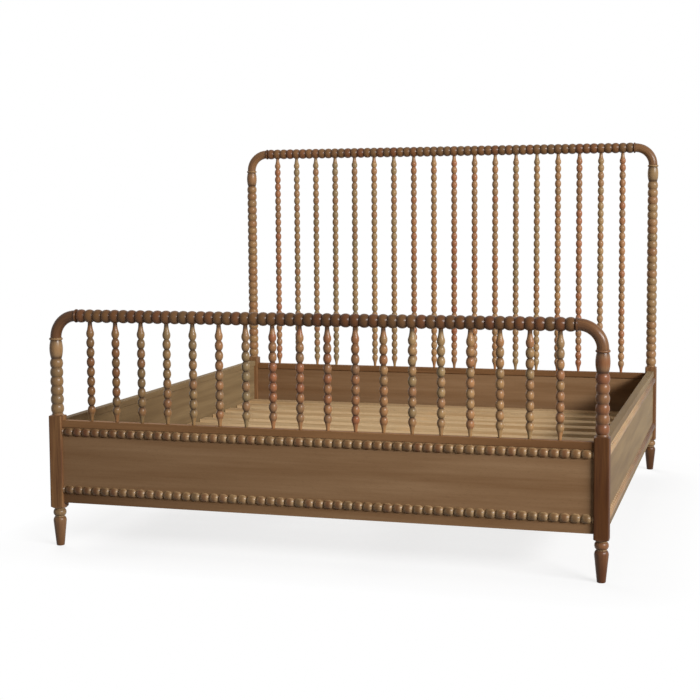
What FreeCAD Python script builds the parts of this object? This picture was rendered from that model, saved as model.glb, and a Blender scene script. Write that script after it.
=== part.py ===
import FreeCAD, Part
import math
import os

# Spool-turned wooden bed frame for a 76 by 80 inch mattress, in millimetres.
# The origin lies on the floor under the middle of the bed, +Z is up, the footboard faces -Y and the
# headboard stands at +Y. What repeats at the corners is modelled for the footboard's right-hand end
# and mirrored to the others.

# Overall size
post_span_width = 2008.2  # post axis to post axis across a board
post_span_length = 2093.7  # footboard posts to headboard posts, axis to axis
footboard_rail_height = 863.5  # axis of the top rail above the floor
headboard_rail_height = 1527.5
footboard_sill_top = 474.0
headboard_sill_drop = 13.0  # the headboard's sill lies this much lower
panel_bottom = 165.0

# Square blocks of the posts
post_square = 50.8
post_edge_round = 4.0
block_rise = 19.0  # block above the footboard's sill
block_base_rise = 2.0  # slope from the foot's neck out to the block
block_lower_shoulder = 6.0  # the turned shoulder at the block's corners
block_upper_shoulder = 3.5

# Turned feet, from the floor up
foot_tip_diameter = 30.0
foot_tip_chamfer = 1.5
foot_taper_height = 93.0
foot_top_diameter = 48.8
foot_shoulder_height = 17.5
foot_shoulder_middle_share = 0.667  # how far up, and how far in from the neck, the shoulder's arc passes
foot_neck_diameter = 36.0
foot_neck_height = 2.0
foot_ring_height = 27.0
foot_ring_diameter = 48.5

# Turned columns of the posts, from the block up
column_lead_height = 6.8
column_lead_diameter = 44.0
post_bead_pitch = 34.4
post_bead_diameter = 48.0
post_neck_diameter = 38.0
vase_height = 69.0
vase_diameter = 49.4
vase_belly_share = 0.47
collar_height = 10.0
collar_diameter = 50.0

# Elbows and top rails
elbow_radius = 81.5
elbow_diameter = 41.0
rail_collar_width = 8.2
rail_bead_diameter = 49.5
rail_neck_diameter = 37.0
beads_per_spindle = 3
dowel_diameter = 10.0
dowel_length = 36.0

# Spindles
spindle_pitch = 101.6
spindle_bead_pitch = 35.8
spindle_bead_diameter = 30.0
spindle_neck_diameter = 17.0
lower_drop_height = 58.0
footboard_upper_drop_height = 56.0
headboard_upper_drop_height = 50.0
spindle_drop_diameter = 29.0
spindle_head_diameter = 16.0
spindle_tail_diameter = 12.0
spindle_tenon = 12.0
drop_hollow_share = 0.26
drop_turn_share = 0.5
drop_belly_share = 0.74
drop_hollow_depth_share = 0.16
drop_turn_depth_share = 0.58

# Sills, panels, side rails and their caps
face_setback = 12.4  # panel face behind the face of the post
panel_thickness = 22.0
sill_height = 26.0
sill_thickness = 31.0
sill_edge_round = 2.5
tenon_length = 16.0
sill_tenon_height = 14.0
sill_tenon_thickness = 12.0
panel_tenon_thickness = 10.0
panel_tenon_shoulder = 25.0

# Split-spool mouldings on the panels and side rails
moulding_pitch = 36.0
moulding_height = 33.0
moulding_reach = 12.0
moulding_neck_reach = 4.0
moulding_crown_share = 0.6  # from a bead's middle towards the cut: where its flat crown ends
moulding_bend_share = 0.85  # and where its steep end bends
moulding_crown_drop_share = 0.195  # from a bead's top towards the bottom of the cut, at these two places
moulding_bend_drop_share = 0.594
lower_moulding_rise = 32.5  # bare strip under the lower moulding

# Slats, ledgers and centre beam
ledger_top = 260.0
ledger_height = 40.0
ledger_depth = 25.0
ledger_end_gap = 40.0
slat_count = 13
slat_width = 70.0
slat_thickness = 19.0
slat_end_gap = 3.0
slat_end_margin = 60.0
beam_width = 38.0
beam_height = 89.0

# Centre legs, their studs and screw-in levellers
leg_offset = 320.0
leg_square = 45.0
leg_clearance = 20.0
leg_edge_chamfer = 3.0
stud_diameter = 8.0
stud_length = 60.0
leveller_pad_diameter = 36.0
leveller_pad_height = 8.0
leveller_pad_chamfer = 2.0
leveller_stem_diameter = 10.0
leveller_stem_length = 45.0
insert_diameter = 14.0
insert_height = 12.0
leveller_spare_depth = 14.0

# Rail fasteners: hook plates in the rail ends, slotted plates in the posts
plate_thickness = 3.0
plate_width = 18.0
plate_height = 130.0
hook_thickness = 3.0
hook_height = 18.0
hook_drop = 9.0
hook_tip = 6.0
hook_spacing = 60.0
hook_pocket_width = 10.0
hook_pocket_room = 5.0  # clear space in the post around the hooks

# Hangers that carry the centre beam on the panels
hanger_sheet = 3.0
hanger_height = 60.0
hanger_depth = 40.0
hanger_ear = 22.0

# Countersunk screws
screw_head_diameter = 8.2
screw_head_depth = 2.6
screw_shank_diameter = 4.2
screw_tip_length = 5.0
plate_screw_length = 22.0
plate_screw_inset = 9.0
slat_screw_length = 42.0
ledger_screw_length = 38.0
ledger_screws_per_rail = 8
hanger_screw_length = 16.0
hanger_screw_inset = 14.0

# Clearances
joint_gap = 0.3  # around tenons, dowels, screws and stems
overrun = 5.0  # how far cutting shapes pass the faces they open

# Places that follow from the sizes above
post_x = post_span_width / 2
post_y = post_span_length / 2
half_post = post_square / 2
post_inner_x = post_x - half_post
post_inner_y = post_y - half_post
panel_face = half_post - face_setback
panel_back = panel_face - panel_thickness
panel_middle = (panel_face + panel_back) / 2
block_bottom = (
    foot_taper_height
    + foot_shoulder_height
    + foot_ring_height
    + foot_neck_height * 2
    + block_base_rise
)
block_top = footboard_sill_top + block_rise
headboard_sill_top = footboard_sill_top - headboard_sill_drop
rail_sill_bottom = footboard_sill_top - sill_height
rail_end_x = post_x - elbow_radius
slat_bottom = ledger_top
slat_top = slat_bottom + slat_thickness
beam_bottom = slat_bottom - beam_height
rail_board_middle = (panel_bottom + rail_sill_bottom) / 2
hanger_bottom = beam_bottom - hanger_sheet
towards_post = (0, -1, 0)  # screw directions at a rail's foot end
towards_rail = (0, 1, 0)


class Outline:
    """Half the section of a turned piece: radius against height, built from the bottom up."""

    def __init__(self, bottom):
        self.last = FreeCAD.Vector(0, 0, bottom)
        self.start = self.last
        self.edges = []

    def line(self, radius, height):
        end = FreeCAD.Vector(radius, 0, height)
        self.edges.append(Part.LineSegment(self.last, end).toShape())
        self.last = end

    def arc(self, middle_radius, middle_height, radius, height):
        middle = FreeCAD.Vector(middle_radius, 0, middle_height)
        end = FreeCAD.Vector(radius, 0, height)
        self.edges.append(Part.Arc(self.last, middle, end).toShape())
        self.last = end

    def beads(self, count, top, bead_radius, neck_radius):
        """Round beads from the present height to the top, with a V cut between each two."""
        bottom = self.last.z
        pitch = (top - bottom) / count
        for number in range(count):
            base = bottom + number * pitch
            self.arc(bead_radius, base + pitch / 2, neck_radius, base + pitch)

    def barrel_beads(self, count, top, bead_radius, neck_radius):
        """Beads with a flat crown and steep ends, from the present height to the top."""
        bottom = self.last.z
        half_pitch = (top - bottom) / count / 2
        depth = bead_radius - neck_radius
        crown = half_pitch * moulding_crown_share
        crown_radius = bead_radius - depth * moulding_crown_drop_share
        bend = half_pitch * moulding_bend_share
        bend_radius = bead_radius - depth * moulding_bend_drop_share
        for number in range(count):
            middle = bottom + half_pitch * (number * 2 + 1)
            self.arc(bend_radius, middle - bend, crown_radius, middle - crown)
            self.arc(bead_radius, middle, crown_radius, middle + crown)
            self.arc(bend_radius, middle + bend, neck_radius, middle + half_pitch)

    def solid(self):
        if self.last.x > 0:
            self.line(0, self.last.z)
        self.edges.append(Part.LineSegment(self.last, self.start).toShape())
        face = Part.Face(Part.Wire(self.edges))
        return face.revolve(FreeCAD.Vector(0, 0, 0), FreeCAD.Vector(0, 0, 1), 360)


def block(low, high):
    """Box between two opposite corners."""
    size = [b - a for a, b in zip(low, high)]
    return Part.makeBox(*size, FreeCAD.Vector(*low))


def rod(diameter, start, direction, length):
    return Part.makeCylinder(diameter / 2, length, FreeCAD.Vector(*start), FreeCAD.Vector(*direction))


def aimed(shape, place, direction):
    """A piece modelled along +Z, turned to a direction and put in its place."""
    copy = shape.copy()
    turn = FreeCAD.Rotation(FreeCAD.Vector(0, 0, 1), FreeCAD.Vector(*direction))
    copy.Placement = FreeCAD.Placement(FreeCAD.Vector(*place), turn)
    return copy


def moved(shape, x, y, z):
    copy = shape.copy()
    copy.translate(FreeCAD.Vector(x, y, z))
    return copy


def flipped_x(shape):
    return shape.mirror(FreeCAD.Vector(0, 0, 0), FreeCAD.Vector(1, 0, 0))


def flipped_y(shape):
    return shape.mirror(FreeCAD.Vector(0, 0, 0), FreeCAD.Vector(0, 1, 0))


def long_edges(shape, direction):
    """The straight edges that run along a direction."""
    axis = FreeCAD.Vector(*direction)
    return [
        edge
        for edge in shape.Edges
        if edge.Vertexes[0].Point.sub(edge.Vertexes[-1].Point).cross(axis).Length < joint_gap
    ]


def spread(count, first, last):
    """Evenly spaced places from the first to the last."""
    return [first + (last - first) * number / (count - 1) for number in range(count)]


def fitted_count(length, pitch):
    """How many copies at about this pitch fill a length."""
    return max(1, round(length / pitch))


def export(node, *shapes):
    whole = shapes[0] if len(shapes) == 1 else Part.makeCompound(list(shapes))
    whole.exportStep("parts/" + node + ".step")


def screw(length, gap=0):
    """Countersunk screw along +Z with its head's flat at the origin, or its hole if it gets a gap."""
    outline = Outline(0)
    outline.line(screw_head_diameter / 2 + gap, 0)
    outline.line(screw_shank_diameter / 2 + gap, screw_head_depth + gap)
    outline.line(screw_shank_diameter / 2 + gap, length - screw_tip_length)
    outline.line(0, length + gap)
    return outline.solid()


def screws_and_holes(length, places, direction):
    screws = [aimed(screw(length), place, direction) for place in places]
    holes = [aimed(screw(length, joint_gap), place, direction) for place in places]
    return screws, holes


class Board:
    """Sizes of the footboard or the headboard, modelled over the X axis with its outer face to -Y."""

    def __init__(self, name, rail_height, sill_top, upper_drop_height, at_head):
        self.name = name
        self.rail_height = rail_height
        self.sill_top = sill_top
        self.upper_drop_height = upper_drop_height
        self.sill_bottom = sill_top - sill_height
        self.post_top = rail_height - elbow_radius
        self.at_head = at_head

    def placed(self, shape):
        at_foot = moved(shape, 0, -post_y, 0)
        return flipped_y(at_foot) if self.at_head else at_foot


def post_outline(board):
    """Foot, block shoulders, spool column, vase and collar of a post in one lathe outline."""
    clear_of_block = post_square
    outline = Outline(0)
    tip_radius = foot_tip_diameter / 2
    outline.line(tip_radius - foot_tip_chamfer, 0)
    outline.line(tip_radius, foot_tip_chamfer)
    outline.line(foot_top_diameter / 2, foot_taper_height)
    neck_radius = foot_neck_diameter / 2
    neck_base = foot_taper_height + foot_shoulder_height
    shoulder_depth = foot_top_diameter / 2 - neck_radius
    shoulder_radius = neck_radius + shoulder_depth * foot_shoulder_middle_share
    shoulder_middle = foot_taper_height + foot_shoulder_height * foot_shoulder_middle_share
    outline.arc(shoulder_radius, shoulder_middle, neck_radius, neck_base)
    ring_base = neck_base + foot_neck_height
    outline.line(neck_radius, ring_base)
    ring_top = ring_base + foot_ring_height
    ring_middle = ring_base + foot_ring_height / 2
    outline.arc(foot_ring_diameter / 2, ring_middle, neck_radius, ring_top)
    outline.line(neck_radius, ring_top + foot_neck_height)
    corner = half_post * math.sqrt(2)
    outline.line(half_post, block_bottom)
    outline.line(corner, block_bottom + block_lower_shoulder)
    outline.line(clear_of_block, block_bottom + block_lower_shoulder)
    outline.line(clear_of_block, block_top - block_upper_shoulder)
    outline.line(corner, block_top - block_upper_shoulder)
    outline.line(column_lead_diameter / 2, block_top)
    outline.line(post_neck_diameter / 2, block_top + column_lead_height)
    collar_base = board.post_top - collar_height
    vase_base = collar_base - vase_height
    count = fitted_count(vase_base - outline.last.z, post_bead_pitch)
    outline.beads(count, vase_base, post_bead_diameter / 2, post_neck_diameter / 2)
    belly = vase_base + vase_height * vase_belly_share
    outline.arc(vase_diameter / 2, belly, elbow_diameter / 2, collar_base)
    outline.arc(collar_diameter / 2, collar_base + collar_height / 2, elbow_diameter / 2, board.post_top)
    return outline


def post(board):
    """Post about its own axis: the board joins its -X face, the side rail its +Y face."""
    stock = block((-half_post, -half_post, 0), (half_post, half_post, board.post_top))
    stock = stock.makeFillet(post_edge_round, long_edges(stock, (0, 0, 1)))
    turned = post_outline(board).solid().common(stock)
    mortise_end = tenon_length + joint_gap - half_post
    sill_middle = board.sill_top - sill_height / 2
    sill_half_height = sill_tenon_height / 2 + joint_gap
    sill_half_thickness = sill_tenon_thickness / 2 + joint_gap
    sill_mortise = block(
        (-half_post - overrun, -sill_half_thickness, sill_middle - sill_half_height),
        (mortise_end, sill_half_thickness, sill_middle + sill_half_height),
    )
    panel_half_thickness = panel_tenon_thickness / 2 + joint_gap
    panel_shoulder = panel_tenon_shoulder - joint_gap
    panel_mortise = block(
        (-half_post - overrun, -panel_middle - panel_half_thickness, panel_bottom + panel_shoulder),
        (mortise_end, -panel_middle + panel_half_thickness, board.sill_bottom - panel_shoulder),
    )
    plate_pocket = plate_block(half_post - plate_thickness, half_post + overrun)
    hook_reach = (hook_spacing + hook_height) / 2 + hook_drop + hook_pocket_room
    hook_depth = plate_thickness + hook_tip + hook_pocket_room
    hook_pocket = block(
        (panel_middle - hook_pocket_width / 2, half_post - hook_depth, rail_board_middle - hook_reach),
        (panel_middle + hook_pocket_width / 2, half_post, rail_board_middle + hook_reach),
    )
    dowel_hole = rod(
        dowel_diameter + joint_gap * 2,
        (0, 0, board.post_top - dowel_length / 2 - joint_gap),
        (0, 0, 1),
        dowel_length,
    )
    holes = plate_screws_and_holes(towards_post)[1]
    return turned.cut([sill_mortise, panel_mortise, plate_pocket, hook_pocket, dowel_hole] + holes)


def plate_block(front, back):
    """Block of a fastener plate's width and height, between two depths along Y from the post's axis."""
    return block(
        (panel_middle - plate_width / 2, front, rail_board_middle - plate_height / 2),
        (panel_middle + plate_width / 2, back, rail_board_middle + plate_height / 2),
    )


def plate_screws_and_holes(direction):
    """Screws from the face where post and rail meet, into the one or the other."""
    reach = plate_height / 2 - plate_screw_inset
    heights = [rail_board_middle - reach, rail_board_middle + reach]
    places = [(panel_middle, half_post, height) for height in heights]
    return screws_and_holes(plate_screw_length, places, direction)


def hook_heights():
    return [rail_board_middle - hook_spacing / 2, rail_board_middle + hook_spacing / 2]


def slot_plate():
    """Plate let into the post's +Y face, with a slot for each hook."""
    plate = plate_block(half_post - plate_thickness, half_post)
    half_slot = hook_thickness / 2 + joint_gap
    slots = [
        block(
            (panel_middle - half_slot, half_post - plate_thickness - overrun, middle - hook_height / 2),
            (panel_middle + half_slot, half_post + overrun, middle + hook_height / 2 + hook_drop + joint_gap),
        )
        for middle in hook_heights()
    ]
    return plate.cut(slots + plate_screws_and_holes(towards_post)[1])


def hook_plate():
    """Plate let into the rail's end, with hooks that drop behind the slotted plate."""
    plate = plate_block(half_post, half_post + plate_thickness)
    plate = plate.cut(plate_screws_and_holes(towards_rail)[1])
    behind = half_post - plate_thickness - joint_gap
    hooks = []
    for middle in hook_heights():
        arm = block(
            (panel_middle - hook_thickness / 2, behind - hook_tip, middle - hook_height / 2),
            (panel_middle + hook_thickness / 2, half_post, middle + hook_height / 2),
        )
        drop = block(
            (panel_middle - hook_thickness / 2, behind - hook_tip, middle - hook_height / 2 - hook_drop),
            (panel_middle + hook_thickness / 2, behind, middle - hook_height / 2),
        )
        hooks += [arm, drop]
    return plate.fuse(hooks).removeSplitter()


def elbow(board):
    """Quarter bend from the top of the right-hand post to the end of the top rail."""
    ring = Part.Wire(Part.makeCircle(elbow_diameter / 2, FreeCAD.Vector(post_x, 0, board.post_top)))
    centre = FreeCAD.Vector(rail_end_x, 0, board.post_top)
    bend = Part.Face(ring).revolve(centre, FreeCAD.Vector(0, -1, 0), 90)
    reach = dowel_length / 2 + joint_gap
    width = dowel_diameter + joint_gap * 2
    lower_hole = rod(width, (post_x, 0, board.post_top - overrun), (0, 0, 1), reach + overrun)
    upper_hole = rod(width, (rail_end_x - overrun, 0, board.rail_height), (1, 0, 0), reach + overrun)
    return bend.cut([lower_hole, upper_hole])


def elbow_dowels(board):
    half = dowel_length / 2
    upright = rod(dowel_diameter, (post_x, 0, board.post_top - half), (0, 0, 1), dowel_length)
    level = rod(dowel_diameter, (rail_end_x - half, 0, board.rail_height), (1, 0, 0), dowel_length)
    return [upright, level, flipped_x(upright), flipped_x(level)]


def spindle_count():
    return fitted_count((rail_end_x - rail_collar_width) * 2, spindle_pitch)


def spindle_places():
    pitch = (rail_end_x - rail_collar_width) * 2 / spindle_count()
    middle = (spindle_count() - 1) / 2
    return [(number - middle) * pitch for number in range(spindle_count())]


def top_rail(board):
    """Spool-turned rail with a collar at each end and a hole for each spindle."""
    collar_radius = collar_diameter / 2
    end_radius = elbow_diameter / 2
    neck_radius = rail_neck_diameter / 2
    beads_end = rail_end_x - rail_collar_width
    outline = Outline(-rail_end_x)
    outline.line(end_radius, -rail_end_x)
    outline.arc(collar_radius, -rail_end_x + rail_collar_width / 2, neck_radius, -beads_end)
    outline.beads(spindle_count() * beads_per_spindle, beads_end, rail_bead_diameter / 2, neck_radius)
    outline.arc(collar_radius, rail_end_x - rail_collar_width / 2, end_radius, rail_end_x)
    rail = aimed(outline.solid(), (0, 0, board.rail_height), (1, 0, 0))
    bottom = board.rail_height - rail_bead_diameter / 2
    width = spindle_head_diameter + joint_gap * 2
    holes = [
        rod(width, (x, 0, bottom - overrun), (0, 0, 1), overrun + spindle_tenon + joint_gap)
        for x in spindle_places()
    ]
    reach = dowel_length / 2 + joint_gap
    dowel_width = dowel_diameter + joint_gap * 2
    holes.append(rod(dowel_width, (rail_end_x - reach, 0, board.rail_height), (1, 0, 0), reach + overrun))
    holes.append(rod(dowel_width, (-rail_end_x + reach, 0, board.rail_height), (-1, 0, 0), reach + overrun))
    return rail.cut(holes)


def drop_points(tip_radius):
    """Radius and share of height, from the tip, at the hollow, the turn and the belly of a drop."""
    belly_radius = spindle_drop_diameter / 2
    growth = belly_radius - tip_radius
    hollow = (tip_radius + growth * drop_hollow_depth_share, drop_hollow_share)
    turn = (tip_radius + growth * drop_turn_depth_share, drop_turn_share)
    return hollow, turn, (belly_radius, drop_belly_share)


def spindle(board):
    """Spindle on the Z axis: plain tenons, a drop at each end and round beads between."""
    bottom = board.sill_top
    top = board.rail_height - rail_bead_diameter / 2
    neck_radius = spindle_neck_diameter / 2
    tail_radius = spindle_tail_diameter / 2
    head_radius = spindle_head_diameter / 2
    outline = Outline(bottom - spindle_tenon)
    outline.line(tail_radius, bottom - spindle_tenon)
    outline.line(tail_radius, bottom)
    hollow, turn, belly = drop_points(tail_radius)
    height = lower_drop_height
    outline.arc(hollow[0], bottom + height * hollow[1], turn[0], bottom + height * turn[1])
    outline.arc(belly[0], bottom + height * belly[1], neck_radius, bottom + height)
    height = board.upper_drop_height
    beads_top = top - height
    count = fitted_count(beads_top - outline.last.z, spindle_bead_pitch)
    outline.beads(count, beads_top, spindle_bead_diameter / 2, neck_radius)
    hollow, turn, belly = drop_points(head_radius)
    outline.arc(belly[0], top - height * belly[1], turn[0], top - height * turn[1])
    outline.arc(hollow[0], top - height * hollow[1], head_radius, top)
    outline.line(head_radius, top + spindle_tenon)
    return outline.solid()


def rounded_bar(low, high, direction):
    bar = block(low, high)
    return bar.makeFillet(sill_edge_round, long_edges(bar, direction))


def sill(board):
    """Rail across the foot of the spindles, tenoned into both posts."""
    half_thickness = sill_thickness / 2
    middle = board.sill_top - sill_height / 2
    bar = rounded_bar(
        (-post_inner_x, -half_thickness, board.sill_bottom),
        (post_inner_x, half_thickness, board.sill_top),
        (1, 0, 0),
    )
    tenon = block(
        (-post_inner_x - tenon_length, -sill_tenon_thickness / 2, middle - sill_tenon_height / 2),
        (post_inner_x + tenon_length, sill_tenon_thickness / 2, middle + sill_tenon_height / 2),
    )
    width = spindle_tail_diameter + joint_gap * 2
    depth = spindle_tenon + joint_gap
    holes = [rod(width, (x, 0, board.sill_top - depth), (0, 0, 1), depth + overrun) for x in spindle_places()]
    return bar.fuse(tenon).removeSplitter().cut(holes)


def panel(board):
    """Flat panel under the sill, tenoned into both posts."""
    sheet = block((-post_inner_x, -panel_face, panel_bottom), (post_inner_x, -panel_back, board.sill_bottom))
    half_tenon = panel_tenon_thickness / 2
    tenon = block(
        (-post_inner_x - tenon_length, -panel_middle - half_tenon, panel_bottom + panel_tenon_shoulder),
        (post_inner_x + tenon_length, -panel_middle + half_tenon, board.sill_bottom - panel_tenon_shoulder),
    )
    holes = screws_and_holes(hanger_screw_length, hanger_screw_places(), (0, -1, 0))[1]
    return sheet.fuse(tenon).removeSplitter().cut([moved(hole, 0, post_y, 0) for hole in holes])


def moulding(half_length):
    """Split spool turning along X, flat back at the origin, beads towards -Y, cut off at both ends."""
    half_height = moulding_height / 2
    bead_radius = (half_height**2 + moulding_reach**2) / (moulding_reach * 2)
    axis_depth = bead_radius - moulding_reach
    neck_radius = axis_depth + moulding_neck_reach
    beads_each_way = math.ceil(half_length / moulding_pitch)
    reach = beads_each_way * moulding_pitch
    outline = Outline(-reach)
    outline.line(neck_radius, -reach)
    outline.barrel_beads(beads_each_way * 2, reach, bead_radius, neck_radius)
    strip = aimed(outline.solid(), (0, axis_depth, 0), (1, 0, 0))
    front = block((-half_length, -bead_radius, -bead_radius), (half_length, 0, bead_radius))
    return strip.common(front)


def upper_moulding_height():
    return rail_sill_bottom - moulding_height / 2


def lower_moulding_height():
    return panel_bottom + lower_moulding_rise + moulding_height / 2


def along_right_rail(shape):
    """A strip made along X with its front to -Y, turned to run along the right-hand rail's face."""
    turned = shape.copy()
    turned.rotate(FreeCAD.Vector(0, 0, 0), FreeCAD.Vector(0, 0, 1), 90)
    return turned


def side_rail():
    """Right-hand rail board between the posts, with a let-in plate and screw holes at each end."""
    inner_face = post_x + panel_back
    outer_face = post_x + panel_face
    board = block((inner_face, -post_inner_y, panel_bottom), (outer_face, post_inner_y, rail_sill_bottom))
    pocket = plate_block(half_post - overrun, half_post + plate_thickness)
    end_cuts = [pocket] + plate_screws_and_holes(towards_rail)[1]
    foot_end = [moved(cut, post_x, -post_y, 0) for cut in end_cuts]
    head_end = [flipped_y(cut) for cut in foot_end]
    return board.cut(foot_end + head_end + ledger_screws()[1])


def rail_cap():
    half_thickness = sill_thickness / 2
    return rounded_bar(
        (post_x - half_thickness, -post_inner_y, rail_sill_bottom),
        (post_x + half_thickness, post_inner_y, footboard_sill_top),
        (0, 1, 0),
    )


def ledger_screws():
    """Screws through the right-hand ledger into the rail board, and their holes."""
    inner_face = post_x + panel_back - ledger_depth
    reach = post_inner_y - ledger_end_gap - slat_end_margin
    middle = ledger_top - ledger_height / 2
    places = [(inner_face, y, middle) for y in spread(ledger_screws_per_rail, -reach, reach)]
    return screws_and_holes(ledger_screw_length, places, (1, 0, 0))


def ledger():
    """Right-hand strip that carries the slat ends."""
    rail_face = post_x + panel_back
    end = post_inner_y - ledger_end_gap
    strip = block((rail_face - ledger_depth, -end, ledger_top - ledger_height), (rail_face, end, ledger_top))
    return strip.cut(ledger_screws()[1] + right_slat_screws()[1])


def slat_places():
    reach = post_inner_y - slat_end_margin
    return spread(slat_count, -reach, reach)


def right_slat_screws():
    """Screws down through the slats' right-hand ends into the ledger, and their holes."""
    x = post_x + panel_back - ledger_depth / 2
    places = [(x, y, slat_top) for y in slat_places()]
    return screws_and_holes(slat_screw_length, places, (0, 0, -1))


def slat(y, right_hole):
    half_length = post_x + panel_back - slat_end_gap
    half_width = slat_width / 2
    board = block((-half_length, y - half_width, slat_bottom), (half_length, y + half_width, slat_top))
    return board.cut([right_hole, flipped_x(right_hole)])


def hanger_end_y():
    """Inner face of the footboard panel, where the foot-end hanger is screwed on."""
    return -post_y - panel_back


def beam_end_y():
    return hanger_end_y() + hanger_sheet + joint_gap


def centre_beam():
    end = beam_end_y()
    timber = block((-beam_width / 2, end, beam_bottom), (beam_width / 2, -end, slat_bottom))
    depth = stud_length / 2 + joint_gap
    holes = [
        rod(stud_diameter + joint_gap * 2, (0, y, beam_bottom - overrun), (0, 0, 1), depth + overrun)
        for y in (-leg_offset, leg_offset)
    ]
    return timber.cut(holes)


def hanger_screw_places():
    x = beam_width / 2 + joint_gap + hanger_sheet + hanger_ear / 2
    heights = [hanger_bottom + hanger_screw_inset, hanger_bottom + hanger_height - hanger_screw_inset]
    y = hanger_end_y() + hanger_sheet
    return [(side * x, y, height) for side in (-1, 1) for height in heights]


def beam_hanger():
    """Bent sheet saddle at the foot end: back plate with ears, two cheeks and a floor."""
    inside = beam_width / 2 + joint_gap
    outside = inside + hanger_sheet
    back_face = hanger_end_y()
    front = back_face + hanger_sheet
    end = front + hanger_depth
    top = hanger_bottom + hanger_height
    plate = block((-outside - hanger_ear, back_face, hanger_bottom), (outside + hanger_ear, front, top))
    floor = block((-outside, back_face, hanger_bottom), (outside, end, beam_bottom))
    left_cheek = block((-outside, back_face, hanger_bottom), (-inside, end, top))
    right_cheek = block((inside, back_face, hanger_bottom), (outside, end, top))
    holes = screws_and_holes(hanger_screw_length, hanger_screw_places(), (0, -1, 0))[1]
    return plate.fuse([floor, left_cheek, right_cheek]).removeSplitter().cut(holes)


def centre_leg():
    """Square leg under the beam at the foot end, bored for its stud, insert and leveller."""
    half = leg_square / 2
    leg = block((-half, -leg_offset - half, leg_clearance), (half, -leg_offset + half, beam_bottom))
    leg = leg.makeChamfer(leg_edge_chamfer, long_edges(leg, (0, 0, 1)))
    stem_top = leveller_pad_height + leveller_stem_length + leveller_spare_depth
    bores = [
        (stud_diameter, beam_bottom - stud_length / 2 - joint_gap, beam_bottom + overrun),
        (insert_diameter, leg_clearance - overrun, leg_clearance + insert_height),
        (leveller_stem_diameter, leg_clearance, stem_top),
    ]
    return leg.cut(
        [
            rod(diameter + joint_gap * 2, (0, -leg_offset, bottom), (0, 0, 1), top - bottom)
            for diameter, bottom, top in bores
        ]
    )


def leg_stud():
    return rod(stud_diameter, (0, -leg_offset, beam_bottom - stud_length / 2), (0, 0, 1), stud_length)


def leg_insert():
    """Threaded sleeve in the leg's bottom, for the leveller's stem."""
    sleeve = rod(insert_diameter, (0, -leg_offset, leg_clearance), (0, 0, 1), insert_height)
    bore = rod(
        leveller_stem_diameter + joint_gap * 2,
        (0, -leg_offset, leg_clearance - overrun),
        (0, 0, 1),
        insert_height + overrun * 2,
    )
    return sleeve.cut(bore)


def leveller():
    """Round pad on a screwed stem, standing on the floor under the foot-end leg."""
    pad_radius = leveller_pad_diameter / 2
    stem_radius = leveller_stem_diameter / 2
    outline = Outline(0)
    outline.line(pad_radius, 0)
    outline.line(pad_radius, leveller_pad_height - leveller_pad_chamfer)
    outline.line(pad_radius - leveller_pad_chamfer, leveller_pad_height)
    outline.line(stem_radius, leveller_pad_height)
    outline.line(stem_radius, leveller_pad_height + leveller_stem_length)
    return moved(outline.solid(), 0, -leg_offset, 0)


def export_board(board):
    """Posts, elbows, rail, spindles, sill, panel and dowels of one board, in its place."""
    right_post = moved(post(board), post_x, 0, 0)
    right_elbow = elbow(board)
    one_spindle = spindle(board)
    pieces = {
        "post_right": [right_post],
        "post_left": [flipped_x(right_post)],
        "elbow_right": [right_elbow],
        "elbow_left": [flipped_x(right_elbow)],
        "top_rail": [top_rail(board)],
        "spindles": [moved(one_spindle, x, 0, 0) for x in spindle_places()],
        "sill": [sill(board)],
        "panel": [panel(board)],
        "dowels": elbow_dowels(board),
    }
    for name, shapes in pieces.items():
        export(board.name + "_" + name, *[board.placed(shape) for shape in shapes])


def export_mouldings():
    """Two mouldings on the footboard and two on each side rail."""
    board_strip = moulding(post_inner_x)
    rail_strip = along_right_rail(moulding(post_inner_y))
    for level, height in (("upper", upper_moulding_height()), ("lower", lower_moulding_height())):
        right_strip = moved(rail_strip, post_x + panel_face, 0, height)
        export("footboard_" + level + "_moulding", moved(board_strip, 0, -post_y - panel_face, height))
        export("right_rail_" + level + "_moulding", right_strip)
        export("left_rail_" + level + "_moulding", flipped_x(right_strip))


def export_side_rails():
    for name, shape in (("side_rail", side_rail()), ("rail_cap", rail_cap()), ("slat_ledger", ledger())):
        export("right_" + name, shape)
        export("left_" + name, flipped_x(shape))
    screws = ledger_screws()[0]
    export("ledger_screws", *screws, *[flipped_x(one) for one in screws])


def at_four_corners(shapes):
    """Pieces made about the footboard's right-hand post axis, at every corner of the bed."""
    right = [moved(shape, post_x, -post_y, 0) for shape in shapes]
    foot = right + [flipped_x(shape) for shape in right]
    return foot + [flipped_y(shape) for shape in foot]


def export_rail_fasteners():
    screws = plate_screws_and_holes(towards_post)[0] + plate_screws_and_holes(towards_rail)[0]
    export("post_slot_plates", *at_four_corners([slot_plate()]))
    export("rail_hook_plates", *at_four_corners([hook_plate()]))
    export("plate_screws", *at_four_corners(screws))


def export_slats():
    screws, holes = right_slat_screws()
    for number, (y, hole) in enumerate(zip(slat_places(), holes), 1):
        export("slat_%02d" % number, slat(y, hole))
    export("slat_screws", *screws, *[flipped_x(one) for one in screws])


def export_centre_support():
    hanger_screws = screws_and_holes(hanger_screw_length, hanger_screw_places(), (0, -1, 0))[0]
    export("centre_beam", centre_beam())
    pieces = {"beam_hanger": beam_hanger(), "centre_leg": centre_leg(), "leveller": leveller()}
    for name, shape in pieces.items():
        export(name + "_foot", shape)
        export(name + "_head", flipped_y(shape))
    export("hanger_screws", *hanger_screws, *[flipped_y(one) for one in hanger_screws])
    export("leg_studs", leg_stud(), flipped_y(leg_stud()))
    export("leg_inserts", leg_insert(), flipped_y(leg_insert()))


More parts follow.
